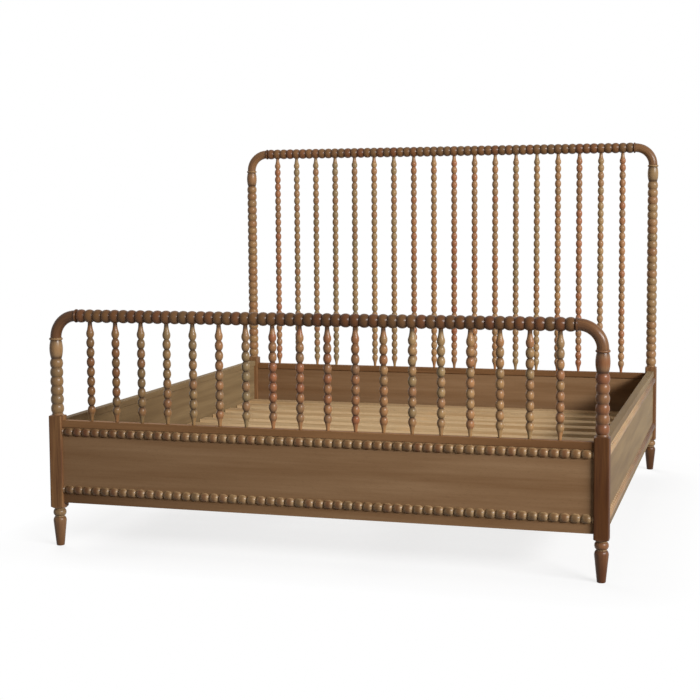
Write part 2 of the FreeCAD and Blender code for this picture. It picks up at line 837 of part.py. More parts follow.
os.makedirs("parts", exist_ok=True)
export_board(
    Board("footboard", footboard_rail_height, footboard_sill_top, footboard_upper_drop_height, at_head=False)
)
export_board(
    Board("headboard", headboard_rail_height, headboard_sill_top, headboard_upper_drop_height, at_head=True)
)
export_mouldings()
export_side_rails()
export_rail_fasteners()
export_slats()
export_centre_support()
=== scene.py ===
import math

import bmesh
import bpy
from mathutils import Matrix, Vector


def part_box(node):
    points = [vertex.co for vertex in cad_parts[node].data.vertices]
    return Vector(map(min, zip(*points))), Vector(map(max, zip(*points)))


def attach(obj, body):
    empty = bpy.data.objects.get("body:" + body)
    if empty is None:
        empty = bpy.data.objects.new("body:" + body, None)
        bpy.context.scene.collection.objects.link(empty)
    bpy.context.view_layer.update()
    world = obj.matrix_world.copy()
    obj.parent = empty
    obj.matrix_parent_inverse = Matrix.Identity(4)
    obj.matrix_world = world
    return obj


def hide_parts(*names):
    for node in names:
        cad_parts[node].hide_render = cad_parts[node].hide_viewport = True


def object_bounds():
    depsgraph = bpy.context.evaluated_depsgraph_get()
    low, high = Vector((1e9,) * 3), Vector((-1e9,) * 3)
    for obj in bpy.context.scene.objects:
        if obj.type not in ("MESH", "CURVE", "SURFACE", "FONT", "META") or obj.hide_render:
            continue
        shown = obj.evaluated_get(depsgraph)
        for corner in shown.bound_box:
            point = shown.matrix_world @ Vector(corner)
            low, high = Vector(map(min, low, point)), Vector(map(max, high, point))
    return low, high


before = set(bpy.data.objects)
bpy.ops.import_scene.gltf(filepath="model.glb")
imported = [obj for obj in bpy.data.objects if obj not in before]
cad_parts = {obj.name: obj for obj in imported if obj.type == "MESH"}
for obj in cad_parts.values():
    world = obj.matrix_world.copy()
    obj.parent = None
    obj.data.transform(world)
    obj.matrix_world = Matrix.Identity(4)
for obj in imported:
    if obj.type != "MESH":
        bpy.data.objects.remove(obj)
cad_box = [list(corner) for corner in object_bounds()]

bl_info = {
    "name": "Spool-Turned Bed Frame",
    "version": (1, 0, 0),
    "blender": (4, 5, 0),
    "location": "3D View > Sidebar > Bed",
    "description": "Turns, planes and stains the pieces of a spool bed and sets up its studio",
    "category": "Object",
}

BODY = "frame"
BOARDS = ("footboard", "headboard")
SIDES = ("left", "right")
LEVELS = ("upper", "lower")
WHITE = (1, 1, 1)
# Height of the barely dished ends that close a turning
CAP_HEIGHT = 0.0001
# The numbers that give each piece its own figure and tint: the first of a kind, and the step from one board
# or rail to the next
FIRST_NUMBERS = {"elbow": 200, "top_rail": 300, "spindles": 400, "moulding": 500}
NUMBER_STEPS = {"elbow": 10, "top_rail": 1, "spindles": 50, "moulding": 10}


def linear(code):
    """Linear colour of an sRGB hex value."""
    parts = [int(code[start:start + 2], 16) / 255 for start in (1, 3, 5)]
    return [part / 12.92 if part <= 0.04045 else ((part + 0.055) / 1.055) ** 2.4 for part in parts]


# Settings


def setting(kind, **limits):
    """Shorthand for the settings of one kind, each with its name, description and default."""

    def made(name, description, default):
        return kind(name=name, description=description, default=default, **limits)

    return made


length = setting(bpy.props.FloatProperty, min=0, precision=4, unit="LENGTH")
place = setting(bpy.props.FloatVectorProperty, size=3, unit="LENGTH")
span = setting(bpy.props.FloatVectorProperty, size=2, unit="LENGTH")
angle = setting(bpy.props.FloatProperty, unit="ROTATION")
power = setting(bpy.props.FloatProperty, min=0, unit="POWER")
share = setting(bpy.props.FloatProperty, min=0, max=1, subtype="FACTOR")
number = setting(bpy.props.IntProperty, min=1)
tint = setting(bpy.props.FloatVectorProperty, min=0, max=1, size=3, subtype="COLOR")


def colour(name, description, code):
    return tint(name, description, linear(code))


class PostSizes(bpy.types.PropertyGroup):
    """Sizes of the posts, from the floor up"""

    foot_tip_diameter: length("Foot tip", "Diameter of a foot at the floor", 0.030)
    foot_tip_chamfer: length("Foot chamfer", "Eased edge at the floor", 0.0015)
    foot_taper_height: length("Foot taper", "Height of the tapered foot", 0.093)
    foot_top_diameter: length("Foot top", "Diameter at the top of the taper", 0.0488)
    foot_shoulder_height: length("Foot shoulder", "Height of the rounded shoulder over the taper", 0.0175)
    foot_shoulder_share: share("Shoulder middle", "How far up and in the shoulder's arc passes", 0.667)
    foot_neck_diameter: length("Foot neck", "Diameter under and over the ring", 0.036)
    foot_neck_height: length("Neck height", "Height of each neck at the ring", 0.002)
    foot_ring_height: length("Ring height", "Height of the ring under the block", 0.027)
    foot_ring_diameter: length("Ring", "Diameter of the ring under the block", 0.0485)
    square: length("Block", "Side of the square block", 0.0508)
    edge_round: length("Block edge", "Rounding of the block's long edges", 0.004)
    block_base_rise: length("Block base", "Slope from the neck out to the block", 0.002)
    block_lower_shoulder: length("Lower shoulder", "Turned shoulder under the block's corners", 0.006)
    block_upper_shoulder: length("Upper shoulder", "Turned shoulder over the block's corners", 0.0035)
    block_rise: length("Block rise", "Block above the footboard's sill", 0.019)
    lead_height: length("Lead height", "Cone between the block and the first bead", 0.0068)
    lead_diameter: length("Lead", "Diameter of that cone at the block", 0.044)
    bead_pitch: length("Bead pitch", "Distance from bead to bead", 0.0344)
    bead_diameter: length("Bead", "Diameter of a bead", 0.048)
    neck_diameter: length("Neck", "Diameter of the cuts between beads", 0.038)
    vase_height: length("Vase height", "Height of the long swelling over the beads", 0.069)
    vase_diameter: length("Vase", "Diameter of that swelling", 0.0494)
    vase_share: share("Vase belly", "How far up the swelling is widest", 0.47)
    collar_height: length("Collar height", "Height of the collar under the elbow", 0.010)


class RailSizes(bpy.types.PropertyGroup):
    """Sizes of the top rails"""

    collar_width: length("Collar width", "Width of the collar at each end", 0.0082)
    collar_diameter: length("Collar", "Diameter of the collars on rails and posts", 0.050)
    bead_diameter: length("Bead", "Diameter of a bead", 0.0495)
    neck_diameter: length("Neck", "Diameter of the cuts between beads", 0.037)
    beads_per_spindle: number("Beads per spindle", "Beads of the rail from one spindle to the next", 3)


class SpindleSizes(bpy.types.PropertyGroup):
    """Sizes of the spindles"""

    count: number("Count", "Spindles in each board", 18)
    bead_pitch: length("Bead pitch", "Distance from bead to bead", 0.0358)
    bead_diameter: length("Bead", "Diameter of a bead", 0.030)
    neck_diameter: length("Neck", "Diameter of the cuts between beads", 0.017)
    lower_drop: length("Lower drop", "Height of the drop at the lower end", 0.058)
    footboard_drop: length("Footboard drop", "Height of the upper drops on the footboard", 0.056)
    headboard_drop: length("Headboard drop", "Height of the upper drops on the headboard", 0.050)
    drop_diameter: length("Drop", "Diameter of a drop", 0.029)
    head_diameter: length("Head", "Diameter of the upper tip and tenon", 0.016)
    tail_diameter: length("Tail", "Diameter of the lower tip and tenon", 0.012)
    tenon: length("Tenon", "Length of the tenons in the rail and the sill", 0.012)
    hollow_share: share("Hollow", "How far from its tip a drop is hollow", 0.26)
    turn_share: share("Turn", "How far from its tip the hollow turns to the belly", 0.5)
    belly_share: share("Belly", "How far from its tip a drop is widest", 0.74)
    hollow_growth_share: share("Hollow growth", "Growth from tip to belly reached at the hollow", 0.16)
    turn_growth_share: share("Turn growth", "Growth from tip to belly reached at the turn", 0.58)


class MouldingSizes(bpy.types.PropertyGroup):
    """Sizes of the split-spool mouldings"""

    pitch: length("Bead pitch", "Distance from bead to bead", 0.036)
    neck_reach: length("Neck reach", "Thickness left at the cuts between beads", 0.004)
    fullness: bpy.props.FloatProperty(
        name="Fullness", description="Power of the curve from crown to cut", default=3.0, min=2
    )


class StainDepths(bpy.types.PropertyGroup):
    """How deep the stain went on each kind of turning, with painted shade laid on as deeper stain and painted
    light as paler stain
    """

    feet: share("Feet", "Tapered feet", 0.5)
    rings: share("Rings", "Rings over the feet", 0.25)
    blocks: share("Blocks", "Square blocks", 0.38)
    post_beads: share("Post beads", "Beads of the posts", 0.25)
    vases: share("Vases", "Vases and collars", 0.03)
    elbows: share("Elbows", "Bent elbows", 0.68)
    rails: share("Rails", "Top rails", 0.84)
    spindles: share("Spindles", "Spindles", 0.22)
    mouldings: share("Mouldings", "Split mouldings of the footboard", 0.72)
    # The side mouldings' pale stain is partly a painted highlight along their lit front stretch.
    side_mouldings: share("Side mouldings", "Split mouldings of the side rails", 0.05)
    right_post: share("Right post", "How much more the footboard's right block took", 0.58)
    # Painted light: the headboard is stained paler for the brighter, hazier look it has further back.
    headboard_easing: share("Headboard easing", "How much less the headboard took", 0.2)
    # Painted shade on the headboard's feet, laid on as deeper stain.
    headboard_feet: share("Headboard feet", "How much more the headboard's feet took", 0.4)
    foot_tips: share("Foot tips", "How much more the feet took at the floor", 0.35)
    # Painted shade on the footboard's left spindles, laid on as deeper stain, where the key light falls
    # weaker.
    left_spindles: share("Left spindles", "How much more the footboard's left spindles took", 0.4)


class Colours(bpy.types.PropertyGroup):
    """Stain, wood and metal colours"""

    stain_dark: colour("Dark stain", "Stain in the close grain", "#69462f")
    stain_light: colour("Light stain", "Stain on the open grain", "#9c744b")
    stain_red: colour("Red beads", "Beads that took a redder stain", "#a2573b")
    stain_gold: colour("Golden beads", "Beads that took a golden stain", "#bb9562")
    stain_olive: colour("Olive beads", "Beads that took an olive stain", "#868060")
    # The deep colour darkens both the deeper stain and the painted shade laid on as deeper stain.
    deep: colour("Deep stain", "What the deepest stain leaves of a colour", "#967d61")
    # The glaze colour is partly painted shade: it darkens cuts, necks and gaps where shade falls.
    glaze: colour("Glaze", "Dark glaze left in the cuts", "#2c1a10")
    # The rubbed colour is partly a painted highlight on rims, necks and shoulders that catch the light.
    rubbed: colour("Rubbed", "High places rubbed back to paler wood", "#b89b74")
    panel_dark: colour("Panel dark", "Close grain of the panels", "#7a5a3c")
    panel_light: colour("Panel light", "Open grain of the panels", "#907152")
    side_dark: colour("Side dark", "Close grain of the side rails and rail caps", "#745f43")
    side_light: colour("Side light", "Open grain of the side rails and rail caps", "#947e5c")
    sill_dark: colour("Sill dark", "Close grain of the sills", "#6f4d2f")
    sill_light: colour("Sill light", "Open grain of the sills", "#8d6744")
    bare_dark: colour("Bare dark", "Late wood of the unfinished timber", "#b08a5c")
    bare_light: colour("Bare light", "Early wood of the unfinished timber", "#d2b58a")
    zinc: colour("Zinc", "Plated steel", "#b4b5b2")
    nylon: colour("Nylon", "Leveller pads", "#1d1d1e")


class Studio(bpy.types.PropertyGroup):
    """Camera, lights and floor"""

    camera_place: place("Camera", "Where the camera stands", (1.501, -5.6593, 1.2505))
    camera_yaw: angle("Yaw", "Turn to the left of +Y", math.radians(16.696))
    camera_pitch: angle("Pitch", "Tilt above the horizon", math.radians(-4.558))
    camera_roll: angle("Roll", "Turn about the line of sight", math.radians(-0.397))
    focal_length: bpy.props.FloatProperty(
        name="Focal length", description="In millimetres on a 36 mm sensor", default=71.493, unit="CAMERA"
    )
    camera_shift: bpy.props.FloatVectorProperty(
        name="Shift", description="Lens shift in shares of the frame", default=(0.0067, -0.0435), size=2
    )
    ambient: share("Ambient", "Light from all round", 0.085)
    key_place: place("Key place", "Where the softbox to the right hangs", (9.64, -6.16, 5.1))
    key_size: span("Key size", "Width and height of that softbox", (7.0, 1.8))
    key_power: power("Key", "Softbox to the right", 1950)
    back_place: place("Back place", "Where the softbox behind hangs", (-6.7, 8.0, 6.2))
    back_size: span("Back size", "Width and height of that softbox", (8.0, 5.0))
    back_power: power("Back", "Softbox behind, for the back and the left", 1200)
    target: place("Target", "What both softboxes face", (0.0, -0.6, 0.6))
    floor_reach: length("Floor reach", "Half of the floor's side", 30.0)
    floor: colour("Floor", "Plain floor as it is seen", "#f9f9f9")
    floor_bounce: colour("Floor bounce", "Plain floor as it lights the bed", "#9a9a9a")
    shadow_share: share("Shadow", "Share of the shadow that the pale floor shows", 0.22)
    shadow_reach: length("Shadow reach", "How far from the bed the floor turns white", 0.3)


class BedSettings(bpy.types.PropertyGroup):
    """All settings of the bed"""

    posts: bpy.props.PointerProperty(type=PostSizes)
    rails: bpy.props.PointerProperty(type=RailSizes)
    spindles: bpy.props.PointerProperty(type=SpindleSizes)
    mouldings: bpy.props.PointerProperty(type=MouldingSizes)
    stains: bpy.props.PointerProperty(type=StainDepths)
    colours: bpy.props.PointerProperty(type=Colours)
    studio: bpy.props.PointerProperty(type=Studio)


# Nodes and pieces


def put(tree, kind, inputs=None, **settings):
    """Adds a node with its settings, and links or sets its inputs by name or number. A node given as an input
    stands for its first output, and a colour is opaque."""
    node = tree.nodes.new(kind)
    for name, value in settings.items():
        setattr(node, name, value)
    for key, value in (inputs or {}).items():
        socket = node.inputs[key]
        if isinstance(value, bpy.types.Node):
            value = value.outputs[0]
        if isinstance(value, bpy.types.NodeSocket):
            tree.links.new(value, socket)
        elif socket.type == "RGBA":
            socket.default_value = (*value, 1)
        else:
            socket.default_value = value
    return node


def new_tree(name, inputs, outputs):
    """Geometry tree with inputs of the kinds of their defaults and named outputs, and what it is given."""
    kinds = {float: "NodeSocketFloat", int: "NodeSocketInt", type(None): "NodeSocketMaterial"}
    tree = bpy.data.node_groups.new(name, "GeometryNodeTree")
    for label, default in inputs.items():
        socket = tree.interface.new_socket(label, in_out="INPUT", socket_type=kinds[type(default)])
        if default is not None:
            socket.default_value = default
    for label, kind in outputs.items():
        tree.interface.new_socket(label, in_out="OUTPUT", socket_type=kind)
    return tree, put(tree, "NodeGroupInput").outputs


class Section:
    """A stretch of a turning: from the last diameter to its end, straight or over a belly, once or often."""

    rings_on_arc = 10
    rings_on_line = 2

    def __init__(self, name, height, end, belly=0.0, belly_share=0.5, count=1, rings=None, **finish):
        self.name = name
        looks = {"glaze": 1.0, "stain": 0.5, "wear": 0.0, "variety": 0.0, "fullness": 0.0, **finish}
        self.sizes = {
            "Length": float(height),
            "End Diameter": float(end),
            "Belly Diameter": float(belly),
            "Belly Share": float(belly_share),
            "Count": count,
            "Rings": rings or (self.rings_on_arc if belly else self.rings_on_line),
            **{look.title(): float(value) for look, value in looks.items()},
        }


def section_tree():
    """Group that draws one section: a line or an arc, repeated upwards, with its number, stain, and glaze
    that is partly painted shade.
    """
    name = "Turned Section"
    if name in bpy.data.node_groups:
        return bpy.data.node_groups[name]
    inputs = {"Start Height": 0.0, "Start Diameter": 0.0, "First Bead": 0, **Section("", 0, 0).sizes}
    ends = {"End Height": "NodeSocketFloat", "End Diameter": "NodeSocketFloat"}
    tree, given = new_tree(name, inputs, {"Profile": "NodeSocketGeometry", **ends})
    belly, end = given["Belly Diameter"], given["End Diameter"]
    pitch = put(tree, "ShaderNodeMath", {0: given["Length"], 1: given["Count"]}, operation="DIVIDE")
    belly_height = put(tree, "ShaderNodeMath", {0: pitch, 1: given["Belly Share"]}, operation="MULTIPLY")
    has_belly = put(tree, "ShaderNodeMath", {0: belly, 1: 0.0}, operation="GREATER_THAN")
    corners = {}
    for corner, diameter, height in (
        ("Start", given["Start Diameter"], 0.0),
        ("Middle", belly, belly_height),
        ("End", end, pitch),
    ):
        radius = put(tree, "ShaderNodeMath", {0: diameter, 1: 2.0}, operation="DIVIDE")
        corners[corner] = put(tree, "ShaderNodeCombineXYZ", {"X": radius, "Z": height})
    arc = put(tree, "GeometryNodeCurveArc", {"Resolution": given["Rings"], **corners}, mode="POINTS")
    line = put(tree, "GeometryNodeCurvePrimitiveLine", {"Start": corners["Start"], "End": corners["End"]})
    even = put(tree, "GeometryNodeResampleCurve", {"Curve": line, "Count": given["Rings"]})
    ways = {"Switch": has_belly, "False": even, "True": arc}
    outline = put(tree, "GeometryNodeSwitch", ways, input_type="GEOMETRY")
    # A full bead has steeper ends and a flatter crown than an arc.
    factor = put(tree, "GeometryNodeSplineParameter").outputs["Factor"]
    turn = put(tree, "ShaderNodeMath", {0: factor, 1: math.pi}, operation="MULTIPLY")
    along = put(tree, "ShaderNodeMath", {0: turn}, operation="COSINE")
    from_crown = put(tree, "ShaderNodeMath", {0: along}, operation="ABSOLUTE")
    fall = put(tree, "ShaderNodeMath", {0: from_crown, 1: given["Fullness"]}, operation="POWER")
    full_width = put(tree, "ShaderNodeMix", {"Factor": fall, 2: belly, 3: end})
    full_radius = put(tree, "ShaderNodeMath", {0: full_width, 1: 2.0}, operation="DIVIDE")
    full_height = put(tree, "ShaderNodeMapRange", {0: along, 1: 1.0, 2: -1.0, 3: 0.0, 4: pitch})
    full_place = put(tree, "ShaderNodeCombineXYZ", {"X": full_radius, "Z": full_height})
    is_full = put(tree, "ShaderNodeMath", {0: given["Fullness"], 1: 0.0}, operation="GREATER_THAN")
    filled = {"Geometry": outline, "Selection": is_full, "Position": full_place}
    stained = put(tree, "GeometryNodeSetPosition", filled)
    # The glaze, partly painted shade in the cuts, is full at the section's end diameter and gone at its
    # belly.
    position = put(tree, "GeometryNodeInputPosition")
    across = put(tree, "ShaderNodeSeparateXYZ", {0: position}).outputs["X"]
    width = put(tree, "ShaderNodeMath", {0: across, 1: 2.0}, operation="MULTIPLY")
    depth = put(tree, "ShaderNodeMapRange", {0: width, 1: belly, 2: end})
    glaze_and_shade_depth = put(tree, "ShaderNodeMath", {0: depth, 1: given["Glaze"]}, operation="MULTIPLY")
    groove = put(tree, "ShaderNodeMath", {0: glaze_and_shade_depth, 1: has_belly}, operation="MULTIPLY")
    # Wear, partly a painted highlight, shows halfway into a bead's cuts, and all over a plain stretch.
    height = put(tree, "ShaderNodeMath", {0: 1.0, 1: depth}, operation="SUBTRACT")
    middle = put(tree, "ShaderNodeMath", {0: height, 1: depth}, operation="MULTIPLY")
    shoulder = put(tree, "ShaderNodeMath", {0: middle, 1: 4.0}, operation="MULTIPLY")
    rubbing = put(tree, "ShaderNodeMix", {0: has_belly, 2: 1.0, 3: shoulder})
    worn = put(tree, "ShaderNodeMath", {0: rubbing, 1: given["Wear"]}, operation="MULTIPLY")
    looks = {"groove": groove, "worn": worn, "stain": given["Stain"], "variety": given["Variety"]}
    for label, value in looks.items():
        look = {"Geometry": stained, "Name": label, "Value": value}
        stained = put(tree, "GeometryNodeStoreNamedAttribute", look)
    index = put(tree, "GeometryNodeInputIndex")
    bead = put(tree, "ShaderNodeMath", {0: index, 1: given["First Bead"]}, operation="ADD")
    start = put(tree, "ShaderNodeCombineXYZ", {"Z": given["Start Height"]})
    step = put(tree, "ShaderNodeCombineXYZ", {"Z": pitch})
    beads = set_out(tree, stained, given["Count"], start, step, "bead", bead)
    real = put(tree, "GeometryNodeRealizeInstances", {"Geometry": beads})
    top = put(tree, "ShaderNodeMath", {0: given["Start Height"], 1: given["Length"]}, operation="ADD")
    put(tree, "NodeGroupOutput", {"Profile": real, "End Height": top, "End Diameter": end})
    return tree


def set_out(tree, thing, count, start, step, label, numbers):
    """Copies of a thing along a line, which keep their numbers under a label."""
    places = put(tree, "GeometryNodeMeshLine", {"Count": count, "Start Location": start, "Offset": step})
    copies = put(tree, "GeometryNodeInstanceOnPoints", {"Points": places, "Instance": thing})
    numbered = {"Geometry": copies, "Name": label, "Value": numbers}
    return put(tree, "GeometryNodeStoreNamedAttribute", numbered, domain="INSTANCE")


def round_ring(tree, given):
    return put(tree, "GeometryNodeCurvePrimitiveCircle", {"Resolution": given["Sides"], "Radius": 1.0})


def stock_ring(tree, given):
    """Ring of unit radius with the angles of a rounded square, whose reach it keeps as stock_radius."""
    arc_points = 4
    cuts_on_flat = 13.0
    sides = {"Width": given["Square"], "Height": given["Square"]}
    square = put(tree, "GeometryNodeCurvePrimitiveQuadrilateral", sides)
    corners = {"Curve": square, "Count": arc_points, "Radius": given["Edge Round"]}
    rounded = put(tree, "GeometryNodeFilletCurve", corners, mode="POLY")
    index = put(tree, "GeometryNodeInputIndex")
    turn = put(tree, "ShaderNodeMath", {0: index, 1: arc_points + 1.0}, operation="FLOORED_MODULO")
    on_flat = put(tree, "ShaderNodeMath", {0: turn, 1: arc_points - 0.5}, operation="GREATER_THAN")
    cuts = put(tree, "ShaderNodeMath", {0: on_flat, 1: cuts_on_flat}, operation="MULTIPLY")
    divided = put(tree, "GeometryNodeSubdivideCurve", {"Curve": rounded, "Cuts": cuts})
    position = put(tree, "GeometryNodeInputPosition")
    reach = put(tree, "ShaderNodeVectorMath", {0: position}, operation="LENGTH").outputs["Value"]
    stock = {"Geometry": divided, "Name": "stock_radius", "Value": reach}
    kept = put(tree, "GeometryNodeStoreNamedAttribute", stock)
    unit = put(tree, "ShaderNodeVectorMath", {0: position}, operation="NORMALIZE")
    return put(tree, "GeometryNodeSetPosition", {"Geometry": kept, "Position": unit})


def from_axis(tree, position):
    """Distance of a position from the Z axis."""
    flat = put(tree, "ShaderNodeVectorMath", {0: position, 1: (1, 1, 0)}, operation="MULTIPLY")
    return put(tree, "ShaderNodeVectorMath", {0: flat}, operation="LENGTH").outputs["Value"]


def cut_to_stock(tree, skin):
    """Keeps a turning inside its square stock, as the lathe leaves a block square."""
    position = put(tree, "GeometryNodeInputPosition")
    reach = from_axis(tree, position)
    limit = put(tree, "GeometryNodeInputNamedAttribute", {"Name": "stock_radius"})
    kept = put(tree, "ShaderNodeMath", {0: reach, 1: limit}, operation="MINIMUM")
    growth = put(tree, "ShaderNodeMath", {0: kept, 1: reach}, operation="DIVIDE")
    scale = put(tree, "ShaderNodeCombineXYZ", {"X": growth, "Y": growth, "Z": 1.0})
    inside = put(tree, "ShaderNodeVectorMath", {0: position, 1: scale}, operation="MULTIPLY")
    return put(tree, "GeometryNodeSetPosition", {"Geometry": skin, "Position": inside})


def split_ring(tree, given):
    """Ring of points that keep their place across the front of a split turning, from -1 to 1."""
    ring = round_ring(tree, given)
    index = put(tree, "GeometryNodeInputIndex")
    last = put(tree, "ShaderNodeMath", {0: given["Sides"], 1: 1.0}, operation="SUBTRACT")
    across = put(tree, "ShaderNodeMapRange", {0: index, 1: 0.0, 2: last, 3: -1.0, 4: 1.0})
    kept = {"Geometry": ring, "Name": "across", "Value": across}
    return put(tree, "GeometryNodeStoreNamedAttribute", kept)


def split_in_front(tree, skin, given):
    """Lays each ring on the front of the splitting plane, its ends on the plane."""
    rubbed_and_lit_edge = (0.6, 0.9)
    position = put(tree, "GeometryNodeInputPosition")
    along = put(tree, "ShaderNodeSeparateXYZ", {0: position}).outputs["Z"]
    radius = from_axis(tree, position)
    depth = given["Axis Depth"]
    ratio = put(tree, "ShaderNodeMath", {0: depth, 1: radius}, operation="DIVIDE")
    widest = put(tree, "ShaderNodeMath", {0: ratio}, operation="ARCCOSINE")
    across = put(tree, "GeometryNodeInputNamedAttribute", {"Name": "across"})
    turn = put(tree, "ShaderNodeMath", {0: widest, 1: across}, operation="MULTIPLY")
    ways = {}
    for way, operation in (("out", "COSINE"), ("up", "SINE")):
        part = put(tree, "ShaderNodeMath", {0: turn}, operation=operation)
        ways[way] = put(tree, "ShaderNodeMath", {0: part, 1: radius}, operation="MULTIPLY")
    outward = put(tree, "ShaderNodeMath", {0: depth, 1: ways["out"]}, operation="SUBTRACT")
    front = put(tree, "ShaderNodeCombineXYZ", {"X": ways["up"], "Y": outward, "Z": along})
    split = put(tree, "GeometryNodeSetPosition", {"Geometry": skin, "Position": front})
    # The upper edge is rubbed paler as well, partly a painted highlight.
    rise = {0: across, 1: rubbed_and_lit_edge[0], 2: rubbed_and_lit_edge[1], 3: 0.0, 4: given["Edge Wear"]}
    edge = put(tree, "ShaderNodeMapRange", rise)
    worn = put(tree, "GeometryNodeInputNamedAttribute", {"Name": "worn"})
    most = put(tree, "ShaderNodeMath", {0: worn, 1: edge}, operation="MAXIMUM")
    return put(tree, "GeometryNodeStoreNamedAttribute", {"Geometry": split, "Name": "worn", "Value": most})


def grained(tree, skin, grain):
    """Keeps the way of the grain on a skin, and shades it smooth but for its cuts."""
    sharpest_smooth_angle = math.radians(38)
    along = {"Geometry": skin, "Name": "grain", "Value": grain}
    wood = put(tree, "GeometryNodeStoreNamedAttribute", along, data_type="FLOAT_VECTOR")
    smooth = put(tree, "GeometryNodeSetShadeSmooth", {"Geometry": wood}, domain="FACE")
    bend = put(tree, "GeometryNodeInputMeshEdgeAngle")
    sharp = put(tree, "ShaderNodeMath", {0: bend, 1: sharpest_smooth_angle}, operation="GREATER_THAN")
    cuts = {"Geometry": smooth, "Selection": sharp, "Shade Smooth": False}
    return put(tree, "GeometryNodeSetShadeSmooth", cuts, domain="EDGE")


def hand_out(tree, pieces, material):
    """Ends a tree with real pieces in their material."""
    real = put(tree, "GeometryNodeRealizeInstances", {"Geometry": pieces})
    dressed = put(tree, "GeometryNodeSetMaterial", {"Geometry": real, "Material": material})
    put(tree, "NodeGroupOutput", {"Geometry": dressed})


def turning(name, sections, extras, material, piece_number=0, bottom=0.0, shape="round", sides=24):
    """Mesh of a turning along +Z: its sections stacked from the bottom, made by a tree with named sizes."""
    weld_distance = 0.00002
    inputs = {"Bottom": bottom, "Start Diameter": 0.0, "Sides": sides, "Piece Number": piece_number}
    inputs.update({"Copies": 1, "First Place": 0.0, "Spacing": 0.0, **extras})
    for section in sections:
        inputs.update({section.name + " " + size: value for size, value in section.sizes.items()})
    inputs["Material"] = None
    tree, given = new_tree(name, inputs, {"Geometry": "NodeSocketGeometry"})
    joined = put(tree, "GeometryNodeJoinGeometry")
    height, diameter, first_bead = given["Bottom"], given["Start Diameter"], 0
    for section in sections:
        sizes = {size: given[section.name + " " + size] for size in section.sizes}
        sizes.update({"Start Height": height, "Start Diameter": diameter, "First Bead": first_bead})
        stretch = put(tree, "GeometryNodeGroup", sizes, node_tree=section_tree()).outputs
        tree.links.new(stretch["Profile"], joined.inputs[0])
        height, diameter = stretch["End Height"], stretch["End Diameter"]
        first_bead += section.sizes["Count"]
    position = put(tree, "GeometryNodeInputPosition")
    parts = put(tree, "ShaderNodeSeparateXYZ", {0: position}).outputs
    wide = put(tree, "GeometryNodeSetCurveRadius", {"Curve": joined, "Radius": parts["X"]})
    upright = put(tree, "ShaderNodeCombineXYZ", {"Z": parts["Z"]})
    axis = put(tree, "GeometryNodeSetPosition", {"Geometry": wide, "Position": upright})
    ring = {"round": round_ring, "stock": stock_ring, "split": split_ring}[shape](tree, given)
    radius = put(tree, "GeometryNodeInputRadius")
    skin = put(tree, "GeometryNodeCurveToMesh", {"Curve": axis, "Profile Curve": ring, "Scale": radius})
    if shape == "stock":
        skin = cut_to_stock(tree, skin)
    if shape == "split":
        skin = split_in_front(tree, skin, given)
    welded = put(tree, "GeometryNodeMergeByDistance", {"Geometry": skin, "Distance": weld_distance})
    wood = grained(tree, welded, put(tree, "GeometryNodeInputPosition"))
    index = put(tree, "GeometryNodeInputIndex")
    piece = put(tree, "ShaderNodeMath", {0: index, 1: given["Piece Number"]}, operation="ADD")
    start = put(tree, "ShaderNodeCombineXYZ", {"X": given["First Place"]})
    step = put(tree, "ShaderNodeCombineXYZ", {"X": given["Spacing"]})
    pieces = set_out(tree, wood, given["Copies"], start, step, "piece", piece)
    hand_out(tree, pieces, given["Material"])
    return made_mesh(name, tree, {**inputs, "Material": material})


def made_mesh(name, tree, values):
    """Runs a tree on an empty object with values for its named inputs, and makes the result a plain mesh."""
    worker = bpy.data.objects.new(name, bpy.data.meshes.new(name))
    bpy.context.scene.collection.objects.link(worker)
    modifier = worker.modifiers.new(name, "NODES")
    modifier.node_group = tree
    for item in tree.interface.items_tree:
        if item.item_type == "SOCKET" and item.in_out == "INPUT":
            modifier[item.identifier] = values[item.name]
    depsgraph = bpy.context.evaluated_depsgraph_get()
    mesh = bpy.data.meshes.new_from_object(worker.evaluated_get(depsgraph))
    if not mesh.polygons:
        raise RuntimeError(name + " has no faces")
    bpy.data.objects.remove(worker)
    mesh.name = name
    return mesh


def outward_faces(mesh):
    shell = bmesh.new()
    shell.from_mesh(mesh)
    bmesh.ops.recalc_face_normals(shell, faces=shell.faces)
    shell.to_mesh(mesh)
    shell.free()


def add_piece(name, mesh, slot, *nodes):
    """Shows a mesh in place of CAD nodes, riding on the bed's body."""
    outward_faces(mesh)
    piece = bpy.data.objects.new(name, mesh)
    bpy.context.scene.collection.objects.link(piece)
    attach(piece, BODY)
    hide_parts(*nodes)
    return piece


def own_number(kind, owner, piece=0):
    return FIRST_NUMBERS[kind] + NUMBER_STEPS[kind] * owner + piece


def centre(node):
    low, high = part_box(node)
    return (low + high) / 2


# Materials


def streaks(tree, grain, along, width_mm, length_mm, detail=3.0):
    """Noise drawn out along the grain, with streaks of a real width and length."""
    scale = [1000 / width_mm] * 3
    scale[along] = 1000 / length_mm
    drawn = put(tree, "ShaderNodeMapping", {"Vector": grain, "Scale": scale})
    noise = {"Vector": drawn, "Scale": 1.0, "Detail": detail, "Roughness": 0.55}
    return put(tree, "ShaderNodeTexNoise", noise)


def new_material(name):
    material = bpy.data.materials.new(name)
    material.use_nodes = True
    material.node_tree.nodes.clear()
    return material, material.node_tree


def surfaced(tree, tone, roughness, **others):
    finish = {"Base Color": tone, "Roughness": roughness, **others}
    shader = put(tree, "ShaderNodeBsdfPrincipled", finish)
    put(tree, "ShaderNodeOutputMaterial", {"Surface": shader})


